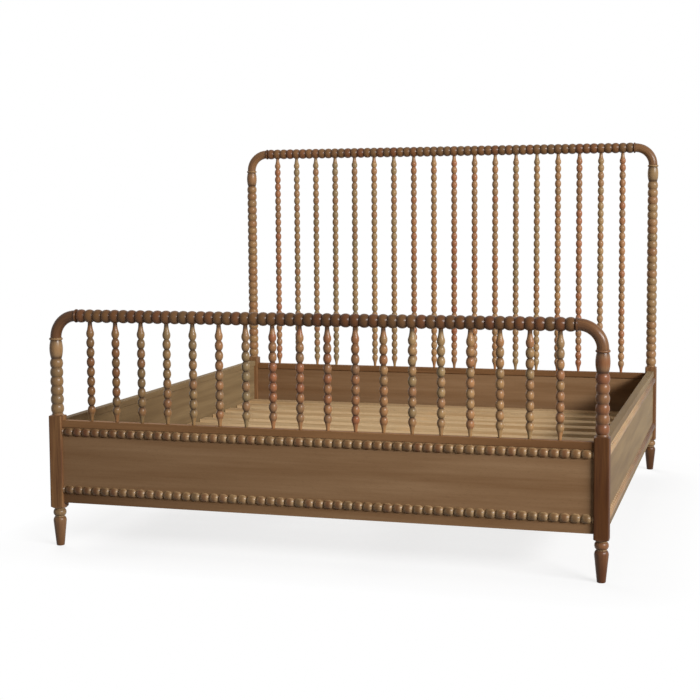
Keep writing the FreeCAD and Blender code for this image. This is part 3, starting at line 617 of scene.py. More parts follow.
def stained_wood(name, dark, light, grain, along, look, layers):
    """Hardwood under a wiped brown stain and a satin lacquer: soft streaks along the grain, fine open pores
    that only show close by, and a sheen that follows the streaks."""
    streak_contrast = (0.34, 0.66)
    pore_mm = (0.9, 14)
    pore_edge = (0.62, 0.75)
    pore_cover = 0.35
    pore_darkness = 0.4
    sheen_spread = 0.06
    material, tree = new_material(name)
    vector = grain(tree)
    figure = streaks(tree, vector, along, *look["figure_mm"])
    streak = streaks(tree, vector, along, *look["streak_mm"])
    pores = streaks(tree, vector, along, *pore_mm, detail=1.0)
    both = put(tree, "ShaderNodeMix", {0: look["streak_share"], 2: figure, 3: streak})
    tone = put(tree, "ShaderNodeMapRange", {0: both, 1: streak_contrast[0], 2: streak_contrast[1]})
    wood = put(tree, "ShaderNodeMix", {0: tone, 6: dark, 7: light}, data_type="RGBA").outputs[2]
    wood = layers(tree, wood, streak)
    cover = {0: pores, 1: pore_edge[0], 2: pore_edge[1], 3: 0.0, 4: pore_cover}
    pore = put(tree, "ShaderNodeMapRange", cover)
    shaded = [part * pore_darkness for part in dark]
    wood = put(tree, "ShaderNodeMix", {0: pore, 6: wood, 7: shaded}, data_type="RGBA").outputs[2]
    dull = look["dullness"]
    sheen = {0: streak, 3: dull - sheen_spread, 4: dull + sheen_spread}
    roughness = put(tree, "ShaderNodeMapRange", sheen)
    relief = put(tree, "ShaderNodeMath", {0: streak, 1: pore}, operation="SUBTRACT")
    bump = put(tree, "ShaderNodeBump", {"Height": relief, "Strength": 0.1, "Distance": 0.0004})
    surfaced(tree, wood, roughness, Normal=bump, **look["lacquer"])
    return material


def object_grain(tree):
    return put(tree, "ShaderNodeTexCoord").outputs["Object"]


def turned_grain(tree):
    """A turning's own axes, moved for each piece so that no two share a figure."""
    step = (0.31, 0.17, 0.53)
    own = put(tree, "ShaderNodeAttribute", attribute_name="grain").outputs["Vector"]
    piece = put(tree, "ShaderNodeAttribute", attribute_name="piece").outputs["Fac"]
    return put(tree, "ShaderNodeVectorMath", {0: piece, 1: step, 2: own}, operation="MULTIPLY_ADD")


def bead_by_bead(colours):
    """Stain that took differently from piece to piece and bead to bead, paler places that are partly wear and
    partly painted highlight, and dark glaze in the cuts that is partly painted shade."""
    piece_tint, bead_tint = 0.45, 0.3
    drift_mm, drift_contrast, drift_reach = 500, (0.3, 0.7), 0.18
    glaze_and_shade_power, glaze_and_shade_cover = 1.15, 0.82
    worn_and_lit_patches = (0.25, 0.5)

    def layers(tree, wood, streak):
        own = {
            name: put(tree, "ShaderNodeAttribute", attribute_name=name).outputs["Fac"]
            for name in ("bead", "piece", "groove", "worn", "stain", "variety")
        }
        bead = put(tree, "ShaderNodeMath", {0: own["bead"]}, operation="ROUND")
        piece = put(tree, "ShaderNodeMath", {0: own["piece"]}, operation="ROUND")
        seeds = (({"Y": piece, "Z": 1.0}, piece_tint), ({"X": bead, "Y": piece, "Z": 2.0}, bead_tint))
        for seed, most in seeds:
            amount = put(tree, "ShaderNodeMath", {0: own["variety"], 1: most}, operation="MULTIPLY")
            draw = {"Vector": put(tree, "ShaderNodeCombineXYZ", seed)}
            chance = put(tree, "ShaderNodeTexWhiteNoise", draw, noise_dimensions="3D").outputs["Value"]
            ramp = put(tree, "ShaderNodeValToRGB", {0: chance})
            stops = ramp.color_ramp.elements
            stops[0].color = (*colours.stain_red, 1)
            stops[1].color = (*colours.stain_olive, 1)
            stops.new(0.5).color = (*colours.stain_gold, 1)
            tinted = {0: amount, 6: wood, 7: ramp}
            wood = put(tree, "ShaderNodeMix", tinted, data_type="RGBA").outputs[2]
        slow = streaks(tree, object_grain(tree), 0, drift_mm, drift_mm, detail=1.0)
        swing = {0: slow, 1: drift_contrast[0], 2: drift_contrast[1], 3: -drift_reach, 4: drift_reach}
        drift = put(tree, "ShaderNodeMapRange", swing)
        depth = put(tree, "ShaderNodeMath", {0: own["stain"], 1: drift}, operation="ADD", use_clamp=True)
        deep = {0: depth, 6: wood, 7: colours.deep}
        wood = put(tree, "ShaderNodeMix", deep, data_type="RGBA", blend_type="MULTIPLY").outputs[2]
        # Dark glaze in the cuts, partly painted shade in the necks and gaps.
        cut = put(tree, "ShaderNodeMath", {0: own["groove"], 1: glaze_and_shade_power}, operation="POWER")
        stay = put(tree, "ShaderNodeMath", {0: cut, 1: glaze_and_shade_cover}, operation="MULTIPLY")
        wood = put(tree, "ShaderNodeMix", {0: stay, 6: wood, 7: colours.glaze}, data_type="RGBA").outputs[2]
        # Paler rubbed places, partly wear and partly painted highlight.
        patch = put(tree, "ShaderNodeMapRange", {0: streak, 1: worn_and_lit_patches[0], 2: worn_and_lit_patches[1]})
        rub_and_highlight = put(tree, "ShaderNodeMath", {0: own["worn"], 1: patch}, operation="MULTIPLY")
        return put(tree, "ShaderNodeMix", {0: rub_and_highlight, 6: wood, 7: colours.rubbed}, data_type="RGBA").outputs[2]

    return layers


def lathe_wood(name, colours, dullness, lacquer):
    """Narrow figure along a turning's axis, with tints, glaze with painted shade in the cuts, and wear with
    painted highlights.
    """
    if name not in bpy.data.materials:
        look = {"figure_mm": (28, 330), "streak_mm": (5, 140), "streak_share": 0.4}
        look.update({"dullness": dullness, "lacquer": lacquer})
        layers = bead_by_bead(colours)
        stained_wood(name, colours.stain_dark, colours.stain_light, turned_grain, 2, look, layers)
    return bpy.data.materials[name]


def turned_wood(colours):
    """Lacquered turnings: a small soft glint on each bead."""
    lacquer = {"Specular IOR Level": 0.05, "Coat Weight": 0.36, "Coat Roughness": 0.28}
    return lathe_wood("spool_turned_hardwood", colours, 0.45, lacquer)


def block_wood(colours):
    """Planed faces left on a turned post: the same stain, with less gloss."""
    return lathe_wood("planed_post_hardwood", colours, 0.6, {"Specular IOR Level": 0.15})


def planed_wood(name, colours, along, *layers):
    """Wide boards: broad soft figure, little gloss, and stain that is deeper towards some of their edges,
    partly as painted shade.
    """
    name = "planed_" + name + "_hardwood"
    look = {"figure_mm": (60, 900), "streak_mm": (9, 260), "streak_share": 0.25, "dullness": 0.62}
    look["lacquer"] = {"Specular IOR Level": 0.12}
    dark, light, deep = colours
    return stained_wood(name, dark, light, object_grain, along, look, deeper_stain_and_shade_towards(deep, *layers))


def deeper_stain_and_shade_towards(deep, *layers):
    """Layers of stain that go deeper along a board, some of them painted shade, each with its most and its
    starts and ends on axes.
    """

    def stains(tree, wood, streak):
        parts = put(tree, "ShaderNodeSeparateXYZ", {0: object_grain(tree)}).outputs
        for stain, ways in layers:
            for axis, (start, end) in ways.items():
                slope = {0: parts[axis], 1: start, 2: end, 3: 0.0, 4: stain}
                stain = put(tree, "ShaderNodeMapRange", slope)
            layer = {0: stain, 6: wood, 7: deep}
            wood = put(tree, "ShaderNodeMix", layer, data_type="RGBA", blend_type="MULTIPLY").outputs[2]
        return wood

    return stains


def bare_wood(colours, along):
    """Planed softwood with no finish: wide pale and darker bands, dull."""
    band_mm, band_contrast = (9, 600), (0.38, 0.62)
    fibre_mm, fibre_share = (1.5, 60), 0.25
    name = "planed_pine_" + "xyz"[along]
    if name in bpy.data.materials:
        return bpy.data.materials[name]
    material, tree = new_material(name)
    vector = object_grain(tree)
    band = streaks(tree, vector, along, *band_mm)
    fibre = streaks(tree, vector, along, *fibre_mm)
    tone = put(tree, "ShaderNodeMapRange", {0: band, 1: band_contrast[0], 2: band_contrast[1]})
    tones = {6: colours.bare_dark, 7: colours.bare_light}
    broad = put(tree, "ShaderNodeMix", {0: tone, **tones}, data_type="RGBA").outputs[2]
    fine = put(tree, "ShaderNodeMix", {0: fibre, **tones}, data_type="RGBA").outputs[2]
    wood = put(tree, "ShaderNodeMix", {0: fibre_share, 6: broad, 7: fine}, data_type="RGBA").outputs[2]
    bump = put(tree, "ShaderNodeBump", {"Height": fibre, "Strength": 0.3, "Distance": 0.0003})
    surfaced(tree, wood, 0.7, Normal=bump)
    return material


def zinc_steel(colours):
    """Zinc-plated steel: bright grey with a faint mottle of the plating."""
    mottle_mm = (6, 6)
    dark_share = 0.8
    sheen = (0.3, 0.48)
    material, tree = new_material("zinc_plated_steel")
    mottle = streaks(tree, object_grain(tree), 2, *mottle_mm)
    tones = {6: [part * dark_share for part in colours.zinc], 7: colours.zinc}
    tone = put(tree, "ShaderNodeMix", {0: mottle, **tones}, data_type="RGBA").outputs[2]
    roughness = put(tree, "ShaderNodeMapRange", {0: mottle, 3: sheen[0], 4: sheen[1]})
    surfaced(tree, tone, roughness, Metallic=1.0)
    return material


def moulded_nylon(colours):
    """Moulded black nylon: dull, with the fine spark texture of the mould."""
    grit_mm = (0.8, 0.8)
    light_share = 1.8
    material, tree = new_material("moulded_nylon")
    grit = streaks(tree, object_grain(tree), 2, *grit_mm)
    tones = {6: colours.nylon, 7: [part * light_share for part in colours.nylon]}
    tone = put(tree, "ShaderNodeMix", {0: grit, **tones}, data_type="RGBA").outputs[2]
    bump = put(tree, "ShaderNodeBump", {"Height": grit, "Strength": 0.2, "Distance": 0.0002})
    surfaced(tree, tone, 0.55, Normal=bump)
    return material


# Turned pieces


def elbow_diameter():
    low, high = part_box("footboard_elbow_right")
    return high.y - low.y


def eased(bed, board, side=None):
    """Gives the stain depth of a kind of turning on one of the boards and sides, with the headboard's painted
    light and the painted shade on its feet.
    """
    headboard_light = bed.stains.headboard_easing if board == "headboard" else 0
    dark_post = bed.stains.right_post if (board, side) == ("footboard", "right") else 0

    def depth(kind):
        own = getattr(bed.stains, kind)
        if kind in ("blocks", "vases"):
            return own + dark_post
        # The headboard's feet take painted shade as deeper stain.
        if kind == "feet" and board == "headboard":
            return own + bed.stains.headboard_feet
        return max(0, own + dark_post / 2 - headboard_light)

    return depth


def deepen_stain_and_shade(mesh, axis, start, end, most):
    """Leaves the stain deeper, and less rubbed off, along a turning, from a start to an end on an axis; it
    lays both deeper stain and painted shade.
    """
    own = zip(mesh.vertices, mesh.attributes["stain"].data, mesh.attributes["worn"].data)
    for vertex, stain, worn in own:
        reach = (vertex.co[axis] - start) / (end - start)
        more = most * min(1, max(0, reach))
        stain.value += more
        worn.value *= 1 - more


class BED_OT_turn_posts(bpy.types.Operator):
    """Turn the four posts: foot, ring, square block, beads, vase and collar"""

    bl_idname = "bed.turn_posts"
    bl_label = "Turn Posts"

    # Each number gives its post a figure and a tone of its own.
    numbers = {"footboard_left": 199, "footboard_right": 168, "headboard_left": 105, "headboard_right": 111}

    def execute(self, context):
        bed = context.scene.bed
        extras = {"Square": bed.posts.square, "Edge Round": bed.posts.edge_round}
        for board in BOARDS:
            for side in SIDES:
                node = board + "_post_" + side
                low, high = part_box(node)
                middle = centre(node)
                sections = self.sections(bed, high.z - low.z, eased(bed, board, side))
                piece = self.numbers[board + "_" + side]
                wood = turned_wood(bed.colours)
                mesh = turning(node + "_turning", sections, extras, wood, piece, shape="stock")
                self.plane_block(mesh, sections, block_wood(bed.colours))
                deepen_stain_and_shade(mesh, 2, bed.posts.foot_taper_height, 0, bed.stains.foot_tips)
                mesh.transform(Matrix.Translation((middle.x, middle.y, low.z)))
                add_piece(node + "_turned", mesh, "turned_wood", node)
        return {"FINISHED"}

    def plane_block(self, mesh, sections, material):
        """Gives the square block its planed faces."""
        top = 0.0
        tops = {}
        for section in sections:
            top += section.sizes["Length"]
            tops[section.name] = top
        mesh.materials.append(material)
        for face in mesh.polygons:
            face.material_index = int(tops["Lower Shoulder"] < face.center.z < tops["Block"])

    def sections(self, bed, height, stain):
        sizes = bed.posts
        foot = {"stain": stain("feet")}
        ring = {"stain": stain("rings")}
        planed = {"stain": stain("blocks")}
        beaded = {"stain": stain("post_beads")}
        vase = {"stain": stain("vases"), "variety": 0.65}
        tapered = {**foot, "variety": 0.25}
        # The necks at the ring are paler: a painted highlight where their fillets catch the light.
        lit_neck_look = {**ring, "wear": 0.9}
        corner = sizes.square * math.sqrt(2)
        neck = sizes.foot_neck_diameter
        neck_height = sizes.foot_neck_height
        shoulder_share = sizes.foot_shoulder_share
        shoulder_belly = neck + (sizes.foot_top_diameter - neck) * shoulder_share
        elbow = elbow_diameter()
        collar = bed.rails.collar_diameter
        foot_height = sizes.foot_taper_height + sizes.foot_shoulder_height
        block_bottom = foot_height + sizes.foot_ring_height + neck_height * 2 + sizes.block_base_rise
        block_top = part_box("footboard_sill")[1].z + sizes.block_rise
        lower, upper = sizes.block_lower_shoulder, sizes.block_upper_shoulder
        block = block_top - block_bottom - lower - upper
        beads_bottom = block_top + sizes.lead_height
        beads_height = height - sizes.collar_height - sizes.vase_height - beads_bottom
        beads = {"count": round(beads_height / sizes.bead_pitch), "glaze": 0.5, "variety": 0.65, **beaded}
        tip, chamfer = sizes.foot_tip_diameter, sizes.foot_tip_chamfer
        taper = sizes.foot_taper_height - chamfer - CAP_HEIGHT
        shoulder = (sizes.foot_shoulder_height, neck, shoulder_belly, shoulder_share)
        swelling = (sizes.vase_height, elbow, sizes.vase_diameter, sizes.vase_share)
        return [
            Section("Sole", CAP_HEIGHT, tip - chamfer * 2, **foot),
            Section("Chamfer", chamfer, tip, **foot),
            Section("Taper", taper, sizes.foot_top_diameter, rings=8, **tapered),
            Section("Shoulder", *shoulder, **tapered),
            Section("Lower Neck", neck_height, neck, **lit_neck_look),
            Section("Ring", sizes.foot_ring_height, neck, sizes.foot_ring_diameter, variety=0.5, **ring),
            Section("Upper Neck", neck_height, neck, **lit_neck_look),
            Section("Block Base", sizes.block_base_rise, sizes.square, wear=0.5, **planed),
            Section("Lower Shoulder", lower, corner, rings=7, **planed),
            Section("Block", block, corner, rings=12, **planed),
            Section("Upper Shoulder", upper, sizes.lead_diameter, rings=7, **planed),
            Section("Lead", sizes.lead_height, sizes.neck_diameter, **beaded),
            Section("Beads", beads_height, sizes.neck_diameter, sizes.bead_diameter, **beads),
            Section("Vase", *swelling, rings=16, wear=0.15, **vase),
            Section("Collar", sizes.collar_height, elbow, collar, **vase),
            Section("Top", CAP_HEIGHT, 0),
        ]


class BED_OT_bend_elbows(bpy.types.Operator):
    """Bend the plain elbows between the posts and the top rails"""

    bl_idname = "bed.bend_elbows"
    bl_label = "Bend Elbows"

    rings = 28
    sides = 40
    # How much less of the stain each elbow took
    easings = {"footboard_left": 0, "footboard_right": 0.13, "headboard_left": 0.48, "headboard_right": 0.12}

    def execute(self, context):
        bed = context.scene.bed
        for board_number, board in enumerate(BOARDS):
            for side_number, side in enumerate(SIDES):
                node = board + "_elbow_" + side
                low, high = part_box(node)
                diameter = high.y - low.y
                sizes = {
                    "Bend Radius": high.x - low.x - diameter / 2,
                    "Diameter": diameter,
                    "Rings": self.rings,
                    "Sides": self.sides,
                    "Stain": eased(bed, board)("elbows") - self.easings[board + "_" + side],
                    "Piece Number": own_number("elbow", board_number, side_number),
                }
                mesh = self.bend(node + "_bend", sizes, turned_wood(bed.colours))
                mesh.transform(Matrix.Rotation(math.pi / 2, 4, "X"))
                if side == "left":
                    mesh.transform(Matrix.Rotation(math.pi, 4, "Z"))
                bend_x = low.x if side == "right" else high.x
                mesh.transform(Matrix.Translation((bend_x, centre(node).y, low.z)))
                add_piece(node + "_bent", mesh, "turned_wood", node)
        return {"FINISHED"}

    def bend(self, name, sizes, material):
        inputs = {**sizes, "Material": None}
        tree, given = new_tree(name, inputs, {"Geometry": "NodeSocketGeometry"})
        quarter = {"Resolution": given["Rings"], "Radius": given["Bend Radius"], "Sweep Angle": math.pi / 2}
        arc = put(tree, "GeometryNodeCurveArc", quarter, mode="RADIUS")
        measure = put(tree, "GeometryNodeSplineParameter").outputs["Length"]
        measured = {"Geometry": arc, "Name": "along", "Value": measure}
        path = put(tree, "GeometryNodeStoreNamedAttribute", measured)
        half = put(tree, "ShaderNodeMath", {0: given["Diameter"], 1: 2.0}, operation="DIVIDE")
        ring = put(tree, "GeometryNodeCurvePrimitiveCircle", {"Resolution": given["Sides"], "Radius": half})
        placed = {"Geometry": ring, "Name": "across", "Value": put(tree, "GeometryNodeInputPosition")}
        rim = put(tree, "GeometryNodeStoreNamedAttribute", placed, data_type="FLOAT_VECTOR")
        skin = put(tree, "GeometryNodeCurveToMesh", {"Curve": path, "Profile Curve": rim, "Fill Caps": True})
        along = put(tree, "GeometryNodeInputNamedAttribute", {"Name": "along"})
        raised = put(tree, "ShaderNodeCombineXYZ", {"Z": along})
        across = put(tree, "GeometryNodeInputNamedAttribute", {"Name": "across"}, data_type="FLOAT_VECTOR")
        grain = put(tree, "ShaderNodeVectorMath", {0: across, 1: raised}, operation="ADD")
        wood = grained(tree, skin, grain)
        for label, value in (("piece", given["Piece Number"]), ("stain", given["Stain"])):
            look = {"Geometry": wood, "Name": label, "Value": value}
            wood = put(tree, "GeometryNodeStoreNamedAttribute", look)
        hand_out(tree, wood, given["Material"])
        return made_mesh(name, tree, {**inputs, "Material": material})


class BED_OT_turn_top_rails(bpy.types.Operator):
    """Turn the two top rails with their end collars"""

    bl_idname = "bed.turn_top_rails"
    bl_label = "Turn Top Rails"

    sides = 40

    def execute(self, context):
        bed = context.scene.bed
        sizes = bed.rails
        elbow = elbow_diameter()
        collar = sizes.collar_width - CAP_HEIGHT
        neck = sizes.neck_diameter
        for board_number, board in enumerate(BOARDS):
            node = board + "_top_rail"
            low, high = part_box(node)
            beaded = high.x - low.x - 2 * sizes.collar_width
            stain = eased(bed, board)("rails")
            beads = {"count": bed.spindles.count * sizes.beads_per_spindle, "glaze": 0.8, "variety": 1.0}
            sections = [
                Section("Left End", CAP_HEIGHT, elbow),
                Section("Left Collar", collar, neck, sizes.collar_diameter, stain=stain),
                Section("Beads", beaded, neck, sizes.bead_diameter, stain=stain, **beads),
                Section("Right Collar", collar, elbow, sizes.collar_diameter, stain=stain),
                Section("Right End", CAP_HEIGHT, 0),
            ]
            piece = own_number("top_rail", board_number)
            wood = turned_wood(bed.colours)
            mesh = turning(node + "_turning", sections, {}, wood, piece, low.x, sides=self.sides)
            mesh.transform(Matrix.Rotation(math.pi / 2, 4, "Y"))
            mesh.transform(Matrix.Translation((0, centre(node).y, centre(node).z)))
            add_piece(node + "_turned", mesh, "turned_wood", node)
        return {"FINISHED"}


class BED_OT_turn_spindles(bpy.types.Operator):
    """Turn the spindles: tenons, a drop at each end and round beads between"""

    bl_idname = "bed.turn_spindles"
    bl_label = "Turn Spindles"

    sides = 18
    looks = {"footboard": {"glaze": 1.0, "wear": 0.0}, "headboard": {"glaze": 0.4, "wear": 0.15}}
    # Where the painted shade on the footboard's left spindles grows, along X
    deeper_left = (-0.1, -0.9)

    def execute(self, context):
        bed = context.scene.bed
        sizes = bed.spindles
        upper_drops = {"footboard": sizes.footboard_drop, "headboard": sizes.headboard_drop}
        for board_number, board in enumerate(BOARDS):
            node = board + "_spindles"
            low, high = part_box(node)
            spacing = (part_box(board + "_elbow_right")[0].x - bed.rails.collar_width) * 2 / sizes.count
            first = -spacing * (sizes.count - 1) / 2
            extras = {"Copies": sizes.count, "First Place": first, "Spacing": spacing}
            look = {"variety": 1, "stain": eased(bed, board)("spindles"), **self.looks[board]}
            sections = self.sections(sizes, high.z - low.z, upper_drops[board], look)
            piece = own_number("spindles", board_number)
            wood = turned_wood(bed.colours)
            mesh = turning(node + "_turning", sections, extras, wood, piece, low.z, sides=self.sides)
            if board == "footboard":
                deepen_stain_and_shade(mesh, 0, *self.deeper_left, bed.stains.left_spindles)
            mesh.transform(Matrix.Translation((0, centre(node).y, 0)))
            add_piece(node + "_turned", mesh, "turned_wood", node)
        return {"FINISHED"}

    def sections(self, sizes, height, upper_drop, look):
        drop, neck = sizes.drop_diameter, sizes.neck_diameter
        tail, head = sizes.tail_diameter, sizes.head_diameter
        lower_hollow = sizes.lower_drop * sizes.turn_share
        lower_belly = sizes.lower_drop - lower_hollow
        upper_hollow = upper_drop * sizes.turn_share
        upper_belly = upper_drop - upper_hollow
        beaded = height - 2 * sizes.tenon - sizes.lower_drop - upper_drop
        beads = {"count": round(beaded / sizes.bead_pitch), "rings": 9, **look}
        tenon = sizes.tenon - CAP_HEIGHT
        hollow_place = sizes.hollow_share / sizes.turn_share
        belly_place = (sizes.belly_share - sizes.turn_share) / (1 - sizes.turn_share)
        tail_hollow, head_hollow = [tip + (drop - tip) * sizes.hollow_growth_share for tip in (tail, head)]
        tail_turn, head_turn = [tip + (drop - tip) * sizes.turn_growth_share for tip in (tail, head)]
        # The upper hollow keeps its glaze: painted shadow of the rail, darkest where the spindle meets it.
        rail_shaded_hollow = {**look, "rings": 8}
        plain = {**rail_shaded_hollow, "glaze": 0}
        return [
            Section("Tail End", CAP_HEIGHT, tail),
            Section("Tail Tenon", tenon, tail),
            Section("Lower Hollow", lower_hollow, tail_turn, tail_hollow, hollow_place, **plain),
            Section("Lower Belly", lower_belly, neck, drop, belly_place, **look),
            Section("Beads", beaded, neck, sizes.bead_diameter, **beads),
            Section("Upper Belly", upper_belly, head_turn, drop, 1 - belly_place, **plain),
            Section("Upper Hollow", upper_hollow, head, head_hollow, 1 - hollow_place, **rail_shaded_hollow),
            Section("Head Tenon", tenon, head),
            Section("Head End", CAP_HEIGHT, 0),
        ]


class BED_OT_split_mouldings(bpy.types.Operator):
    """Turn the spool mouldings, split them lengthwise and cut them to length"""

    bl_idname = "bed.split_mouldings"
    bl_label = "Split Mouldings"

    points_across = 15
    turns = {"footboard": 0, "right_rail": math.pi / 2, "left_rail": -math.pi / 2}
    looks = {"footboard": {"wear": 0.55, "variety": 0.7}, "rail": {"wear": 0.7, "variety": 0.5}}
    # Where the stain lies deeper on a strip: axis, start, end and how much. On the footboard it is painted
    # shade towards the left end; on the upper side strips it is painted shade towards the back, leaving their
    # pale front stretch as a painted highlight; the lower side strips are darker towards the back.
    deeper = {
        "footboard_upper": (0, -0.45, -1.0, 0.5),
        "footboard_lower": (0, -0.6, -1.0, 0.5),
        "rail_upper": (1, -0.1, 0.9, 0.85),
        "rail_lower": (1, -1.5, 1.0, 1.0),
    }

    def execute(self, context):
        bed = context.scene.bed
        stains = {"footboard": bed.stains.mouldings, "rail": bed.stains.side_mouldings}
        for owner_number, (owner, turn) in enumerate(self.turns.items()):
            kind = owner.split("_")[-1]
            look = {"stain": stains[kind], **self.looks[kind]}
            for level_number, level in enumerate(LEVELS):
                node = owner + "_" + level + "_moulding"
                mesh = self.strip(bed, node, look, own_number("moulding", owner_number, level_number))
                mesh.transform(Matrix.Rotation(turn, 4, "Z"))
                low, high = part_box(node)
                back = {"footboard": (0, high.y), "right_rail": (low.x, 0), "left_rail": (high.x, 0)}[owner]
                mesh.transform(Matrix.Translation((*back, centre(node).z)))
                deepen_stain_and_shade(mesh, *self.deeper[kind + "_" + level])
                add_piece(node + "_split", mesh, "moulding_wood", node)
        return {"FINISHED"}

    def strip(self, bed, node, look, piece):
        """Strip along X with its flat back on the XZ plane and its beads towards -Y."""
        sizes = bed.mouldings
        low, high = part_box(node)
        reach, height, strip_length = sorted(high - low)
        bead = (height**2 / 4 + reach**2) / reach
        depth = bead / 2 - reach
        neck = 2 * (depth + sizes.neck_reach)
        beads_each_way = math.ceil(strip_length / 2 / sizes.pitch)
        half = beads_each_way * sizes.pitch
        beads = {"count": beads_each_way * 2, "rings": 13, "glaze": 0.7, "fullness": sizes.fullness, **look}
        sections = [Section("Beads", half * 2, neck, bead, **beads)]
        extras = {"Axis Depth": depth, "Start Diameter": neck, "Edge Wear": look["wear"]}
        wood = turned_wood(bed.colours)
        mesh = turning(node + "_turning", sections, extras, wood, piece, -half, "split", self.points_across)
        # From across, out and along to along, out and up
        mesh.transform(Matrix(((0, 0, 1, 0), (0, 1, 0, 0), (1, 0, 0, 0), (0, 0, 0, 1))))
        cut_off(mesh, strip_length / 2)
        return mesh


def cut_off(mesh, half_length):
    """Saws a strip along X off square at both ends and closes the cuts."""
    strip = bmesh.new()
    strip.from_mesh(mesh)
    for way in (-1, 1):
        whole = strip.verts[:] + strip.edges[:] + strip.faces[:]
        bmesh.ops.bisect_plane(
            strip, geom=whole, plane_co=(way * half_length, 0, 0), plane_no=(way, 0, 0), clear_outer=True
        )
    rims = [edge for edge in strip.edges if edge.is_boundary]
    bmesh.ops.holes_fill(strip, edges=rims)
    strip.to_mesh(mesh)
    strip.free()


# Pieces that keep their CAD shape


def dress(node, material):
    """Gives a CAD node its finish."""
    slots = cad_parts[node].data.materials
    slots.clear()
    slots.append(material)


class BED_OT_plane_boards(bpy.types.Operator):
    """Plane and stain the sills, panels, side rails and rail caps, with painted shade on the panels and side
    rails
    """

    bl_idname = "bed.plane_boards"
    bl_label = "Plane Boards"

    # How much deeper the stain goes at most, and its starts and ends on the axes: painted shade on the panels
    # towards the left and under the lower moulding, painted shade on the side rails towards the front, and
    # deeper stain on the sills towards the right
    to_the_left = (0.2, {"X": (-0.2, -1.0)})
    under_the_moulding = (0.6, {"X": (-0.3, -0.95), "Z": (0.22, 0.2)})
    to_the_right = (0.55, {"X": (0.1, 1.0)})
    to_the_front = (0.5, {"Y": (1.4, -1.0)})

    def execute(self, context):
        colours = context.scene.bed.colours
        tones = (colours.panel_dark, colours.panel_light, colours.deep)
        panel = planed_wood("panel", tones, 0, self.to_the_left, self.under_the_moulding)
        tones = (colours.sill_dark, colours.sill_light, colours.deep)
        sill = planed_wood("sill", tones, 0, self.to_the_right)
        for board in BOARDS:
            dress(board + "_panel", panel)
            dress(board + "_sill", sill)
        tones = (colours.side_dark, colours.side_light, colours.deep)
        rail = planed_wood("side", tones, 1, self.to_the_front)
        for side in SIDES:
            dress(side + "_side_rail", rail)
            dress(side + "_rail_cap", rail)
        return {"FINISHED"}


class BED_OT_dress_supports(bpy.types.Operator):
    """Give the slats, ledgers, centre beam, legs and dowels their bare timber"""

    bl_idname = "bed.dress_supports"
    bl_label = "Dress Supports"

    def execute(self, context):
        colours = context.scene.bed.colours
        for node in sorted(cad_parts):
            if node.startswith("slat_") and node != "slat_screws" or node.endswith("_dowels"):
                dress(node, bare_wood(colours, 0))
            if node.endswith("_slat_ledger") or node == "centre_beam":
                dress(node, bare_wood(colours, 1))
            if node.startswith("centre_leg_"):
                dress(node, bare_wood(colours, 2))
        return {"FINISHED"}


class BED_OT_dress_hardware(bpy.types.Operator):
    """Give the plates, hangers, screws, studs, inserts and levellers their metal and nylon"""

    bl_idname = "bed.dress_hardware"
    bl_label = "Dress Hardware"

    def execute(self, context):
        colours = context.scene.bed.colours
        metal, nylon = zinc_steel(colours), moulded_nylon(colours)
        for node in sorted(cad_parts):
            if node.endswith(("_plates", "_screws", "_studs", "_inserts")) or node.startswith("beam_hanger_"):
                dress(node, metal)
            if node.startswith("leveller_"):
                dress(node, nylon)
        return {"FINISHED"}


# Stage


def seen_rays(tree):
    """Rays from the camera, and rays by which metal and glass mirror what is around them."""
    rays = put(tree, "ShaderNodeLightPath").outputs
    bounced = {0: rays["Is Glossy Ray"], 1: rays["Is Transmission Ray"]}
    return rays["Is Camera Ray"], put(tree, "ShaderNodeMath", bounced, operation="MAXIMUM")


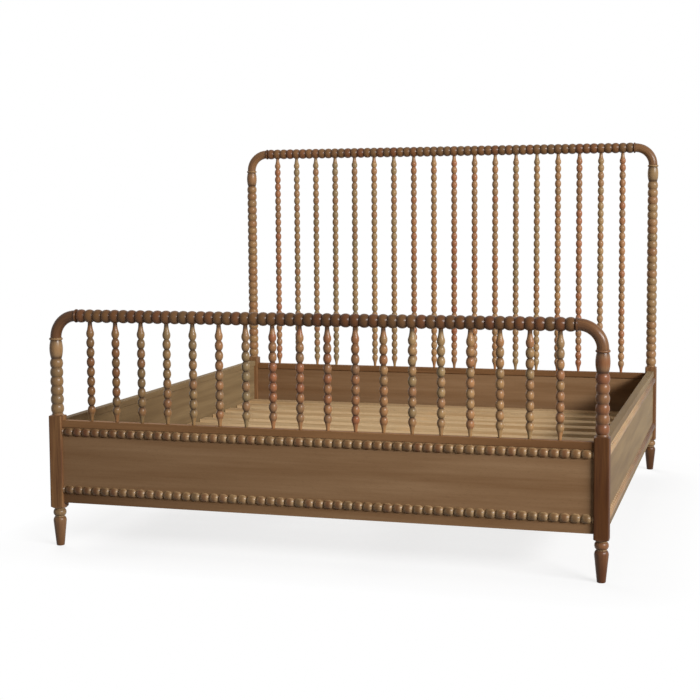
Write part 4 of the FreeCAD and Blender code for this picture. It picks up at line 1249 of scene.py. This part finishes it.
class BED_OT_set_stage(bpy.types.Operator):
    """Set up the floor, the lights, the surroundings and the camera"""

    bl_idname = "bed.set_stage"
    bl_label = "Set Stage"

    def execute(self, context):
        studio = context.scene.bed.studio
        context.scene.view_settings.view_transform = "Standard"
        self.floor(studio)
        self.world(context.scene, studio)
        self.softbox("key_softbox", studio.key_place, studio.key_size, studio.key_power, studio.target)
        fill = self.softbox(
            "back_softbox", studio.back_place, studio.back_size, studio.back_power, studio.target
        )
        # The back light shows no glints round the edges that the camera sees.
        fill.visible_glossy = False
        self.camera(context.scene, studio)
        return {"FINISHED"}

    def floor(self, studio):
        half = studio.floor_reach
        mesh = bpy.data.meshes.new("studio_floor")
        corners = [(-half, -half, 0), (half, -half, 0), (half, half, 0), (-half, half, 0)]
        mesh.from_pydata(corners, [], [(0, 1, 2, 3)])
        floor = bpy.data.objects.new("studio_floor", mesh)
        bpy.context.scene.collection.objects.link(floor)
        material, tree = new_material("studio_floor_paint")
        camera, mirrored = seen_rays(tree)
        tones = {0: camera, 6: studio.floor_bounce, 7: studio.floor}
        tone = put(tree, "ShaderNodeMix", tones, data_type="RGBA").outputs[2]
        paint = put(tree, "ShaderNodeBsdfDiffuse", {"Color": tone})
        glow = put(tree, "ShaderNodeEmission", {"Color": WHITE})
        # The floor turns white a step away from the bed's footprint.
        half_footprint = (cad_box[1][0], cad_box[1][1], 0)
        reach = put(tree, "ShaderNodeVectorMath", {0: object_grain(tree)}, operation="ABSOLUTE")
        past = put(tree, "ShaderNodeVectorMath", {0: reach, 1: half_footprint}, operation="SUBTRACT")
        outside = put(tree, "ShaderNodeVectorMath", {0: past, 1: (0, 0, 0)}, operation="MAXIMUM")
        distance = put(tree, "ShaderNodeVectorMath", {0: outside}, operation="LENGTH").outputs["Value"]
        fade = {0: distance, 1: 0.0, 2: studio.shadow_reach, 3: 1 - studio.shadow_share, 4: 1.0}
        far = put(tree, "ShaderNodeMapRange", fade)
        seen = put(tree, "ShaderNodeMath", {0: camera, 1: far}, operation="MULTIPLY")
        white = put(tree, "ShaderNodeMath", {0: mirrored, 1: seen}, operation="MAXIMUM")
        mix = put(tree, "ShaderNodeMixShader", {0: white, 1: paint, 2: glow})
        put(tree, "ShaderNodeOutputMaterial", {"Surface": mix})
        mesh.materials.append(material)

    def world(self, scene, studio):
        world = bpy.data.worlds.new("studio")
        world.use_nodes = True
        tree = world.node_tree
        tree.nodes.clear()
        soft = put(tree, "ShaderNodeBackground", {"Color": WHITE, "Strength": studio.ambient})
        white = put(tree, "ShaderNodeBackground", {"Color": WHITE, "Strength": 1.0})
        camera, mirrored = seen_rays(tree)
        seen = put(tree, "ShaderNodeMath", {0: camera, 1: mirrored}, operation="MAXIMUM")
        mix = put(tree, "ShaderNodeMixShader", {0: seen, 1: soft, 2: white})
        put(tree, "ShaderNodeOutputWorld", {"Surface": mix})
        scene.world = world

    def softbox(self, name, spot, size, watts, target):
        lamp = bpy.data.lights.new(name, "AREA")
        lamp.shape = "RECTANGLE"
        lamp.size, lamp.size_y = size
        lamp.energy = watts
        light = bpy.data.objects.new(name, lamp)
        light.location = spot
        light.rotation_euler = (Vector(target) - Vector(spot)).to_track_quat("-Z", "Y").to_euler()
        bpy.context.scene.collection.objects.link(light)
        return light

    def camera(self, scene, studio):
        data = bpy.data.cameras.new("camera")
        data.lens = studio.focal_length
        data.shift_x, data.shift_y = studio.camera_shift
        camera = bpy.data.objects.new("camera", data)
        camera.location = studio.camera_place
        turn = Matrix.Rotation(studio.camera_yaw, 3, "Z")
        tilt = Matrix.Rotation(math.pi / 2 + studio.camera_pitch, 3, "X")
        roll = Matrix.Rotation(studio.camera_roll, 3, "Z")
        camera.rotation_euler = (turn @ tilt @ roll).to_euler()
        scene.collection.objects.link(camera)
        scene.camera = camera


class BED_PT_pieces(bpy.types.Panel):
    """Pieces of the bed and its studio"""

    bl_label = "Spool Bed"
    bl_space_type = "VIEW_3D"
    bl_region_type = "UI"
    bl_category = "Bed"

    def draw(self, context):
        for operator in OPERATORS:
            self.layout.operator(operator.bl_idname)


SETTINGS = (
    PostSizes,
    RailSizes,
    SpindleSizes,
    MouldingSizes,
    StainDepths,
    Colours,
    Studio,
    BedSettings,
)
OPERATORS = (
    BED_OT_turn_posts,
    BED_OT_bend_elbows,
    BED_OT_turn_top_rails,
    BED_OT_turn_spindles,
    BED_OT_split_mouldings,
    BED_OT_plane_boards,
    BED_OT_dress_supports,
    BED_OT_dress_hardware,
    BED_OT_set_stage,
)


def register():
    for one in (*SETTINGS, *OPERATORS, BED_PT_pieces):
        bpy.utils.register_class(one)
    bpy.types.Scene.bed = bpy.props.PointerProperty(type=BedSettings)


def unregister():
    del bpy.types.Scene.bed
    for one in reversed((*SETTINGS, *OPERATORS, BED_PT_pieces)):
        bpy.utils.unregister_class(one)


def main():
    register()
    bpy.ops.bed.turn_posts()
    bpy.ops.bed.bend_elbows()
    bpy.ops.bed.turn_top_rails()
    bpy.ops.bed.turn_spindles()
    bpy.ops.bed.split_mouldings()
    bpy.ops.bed.plane_boards()
    bpy.ops.bed.dress_supports()
    bpy.ops.bed.dress_hardware()
    bpy.ops.bed.set_stage()


if __name__ == "__main__":
    main()
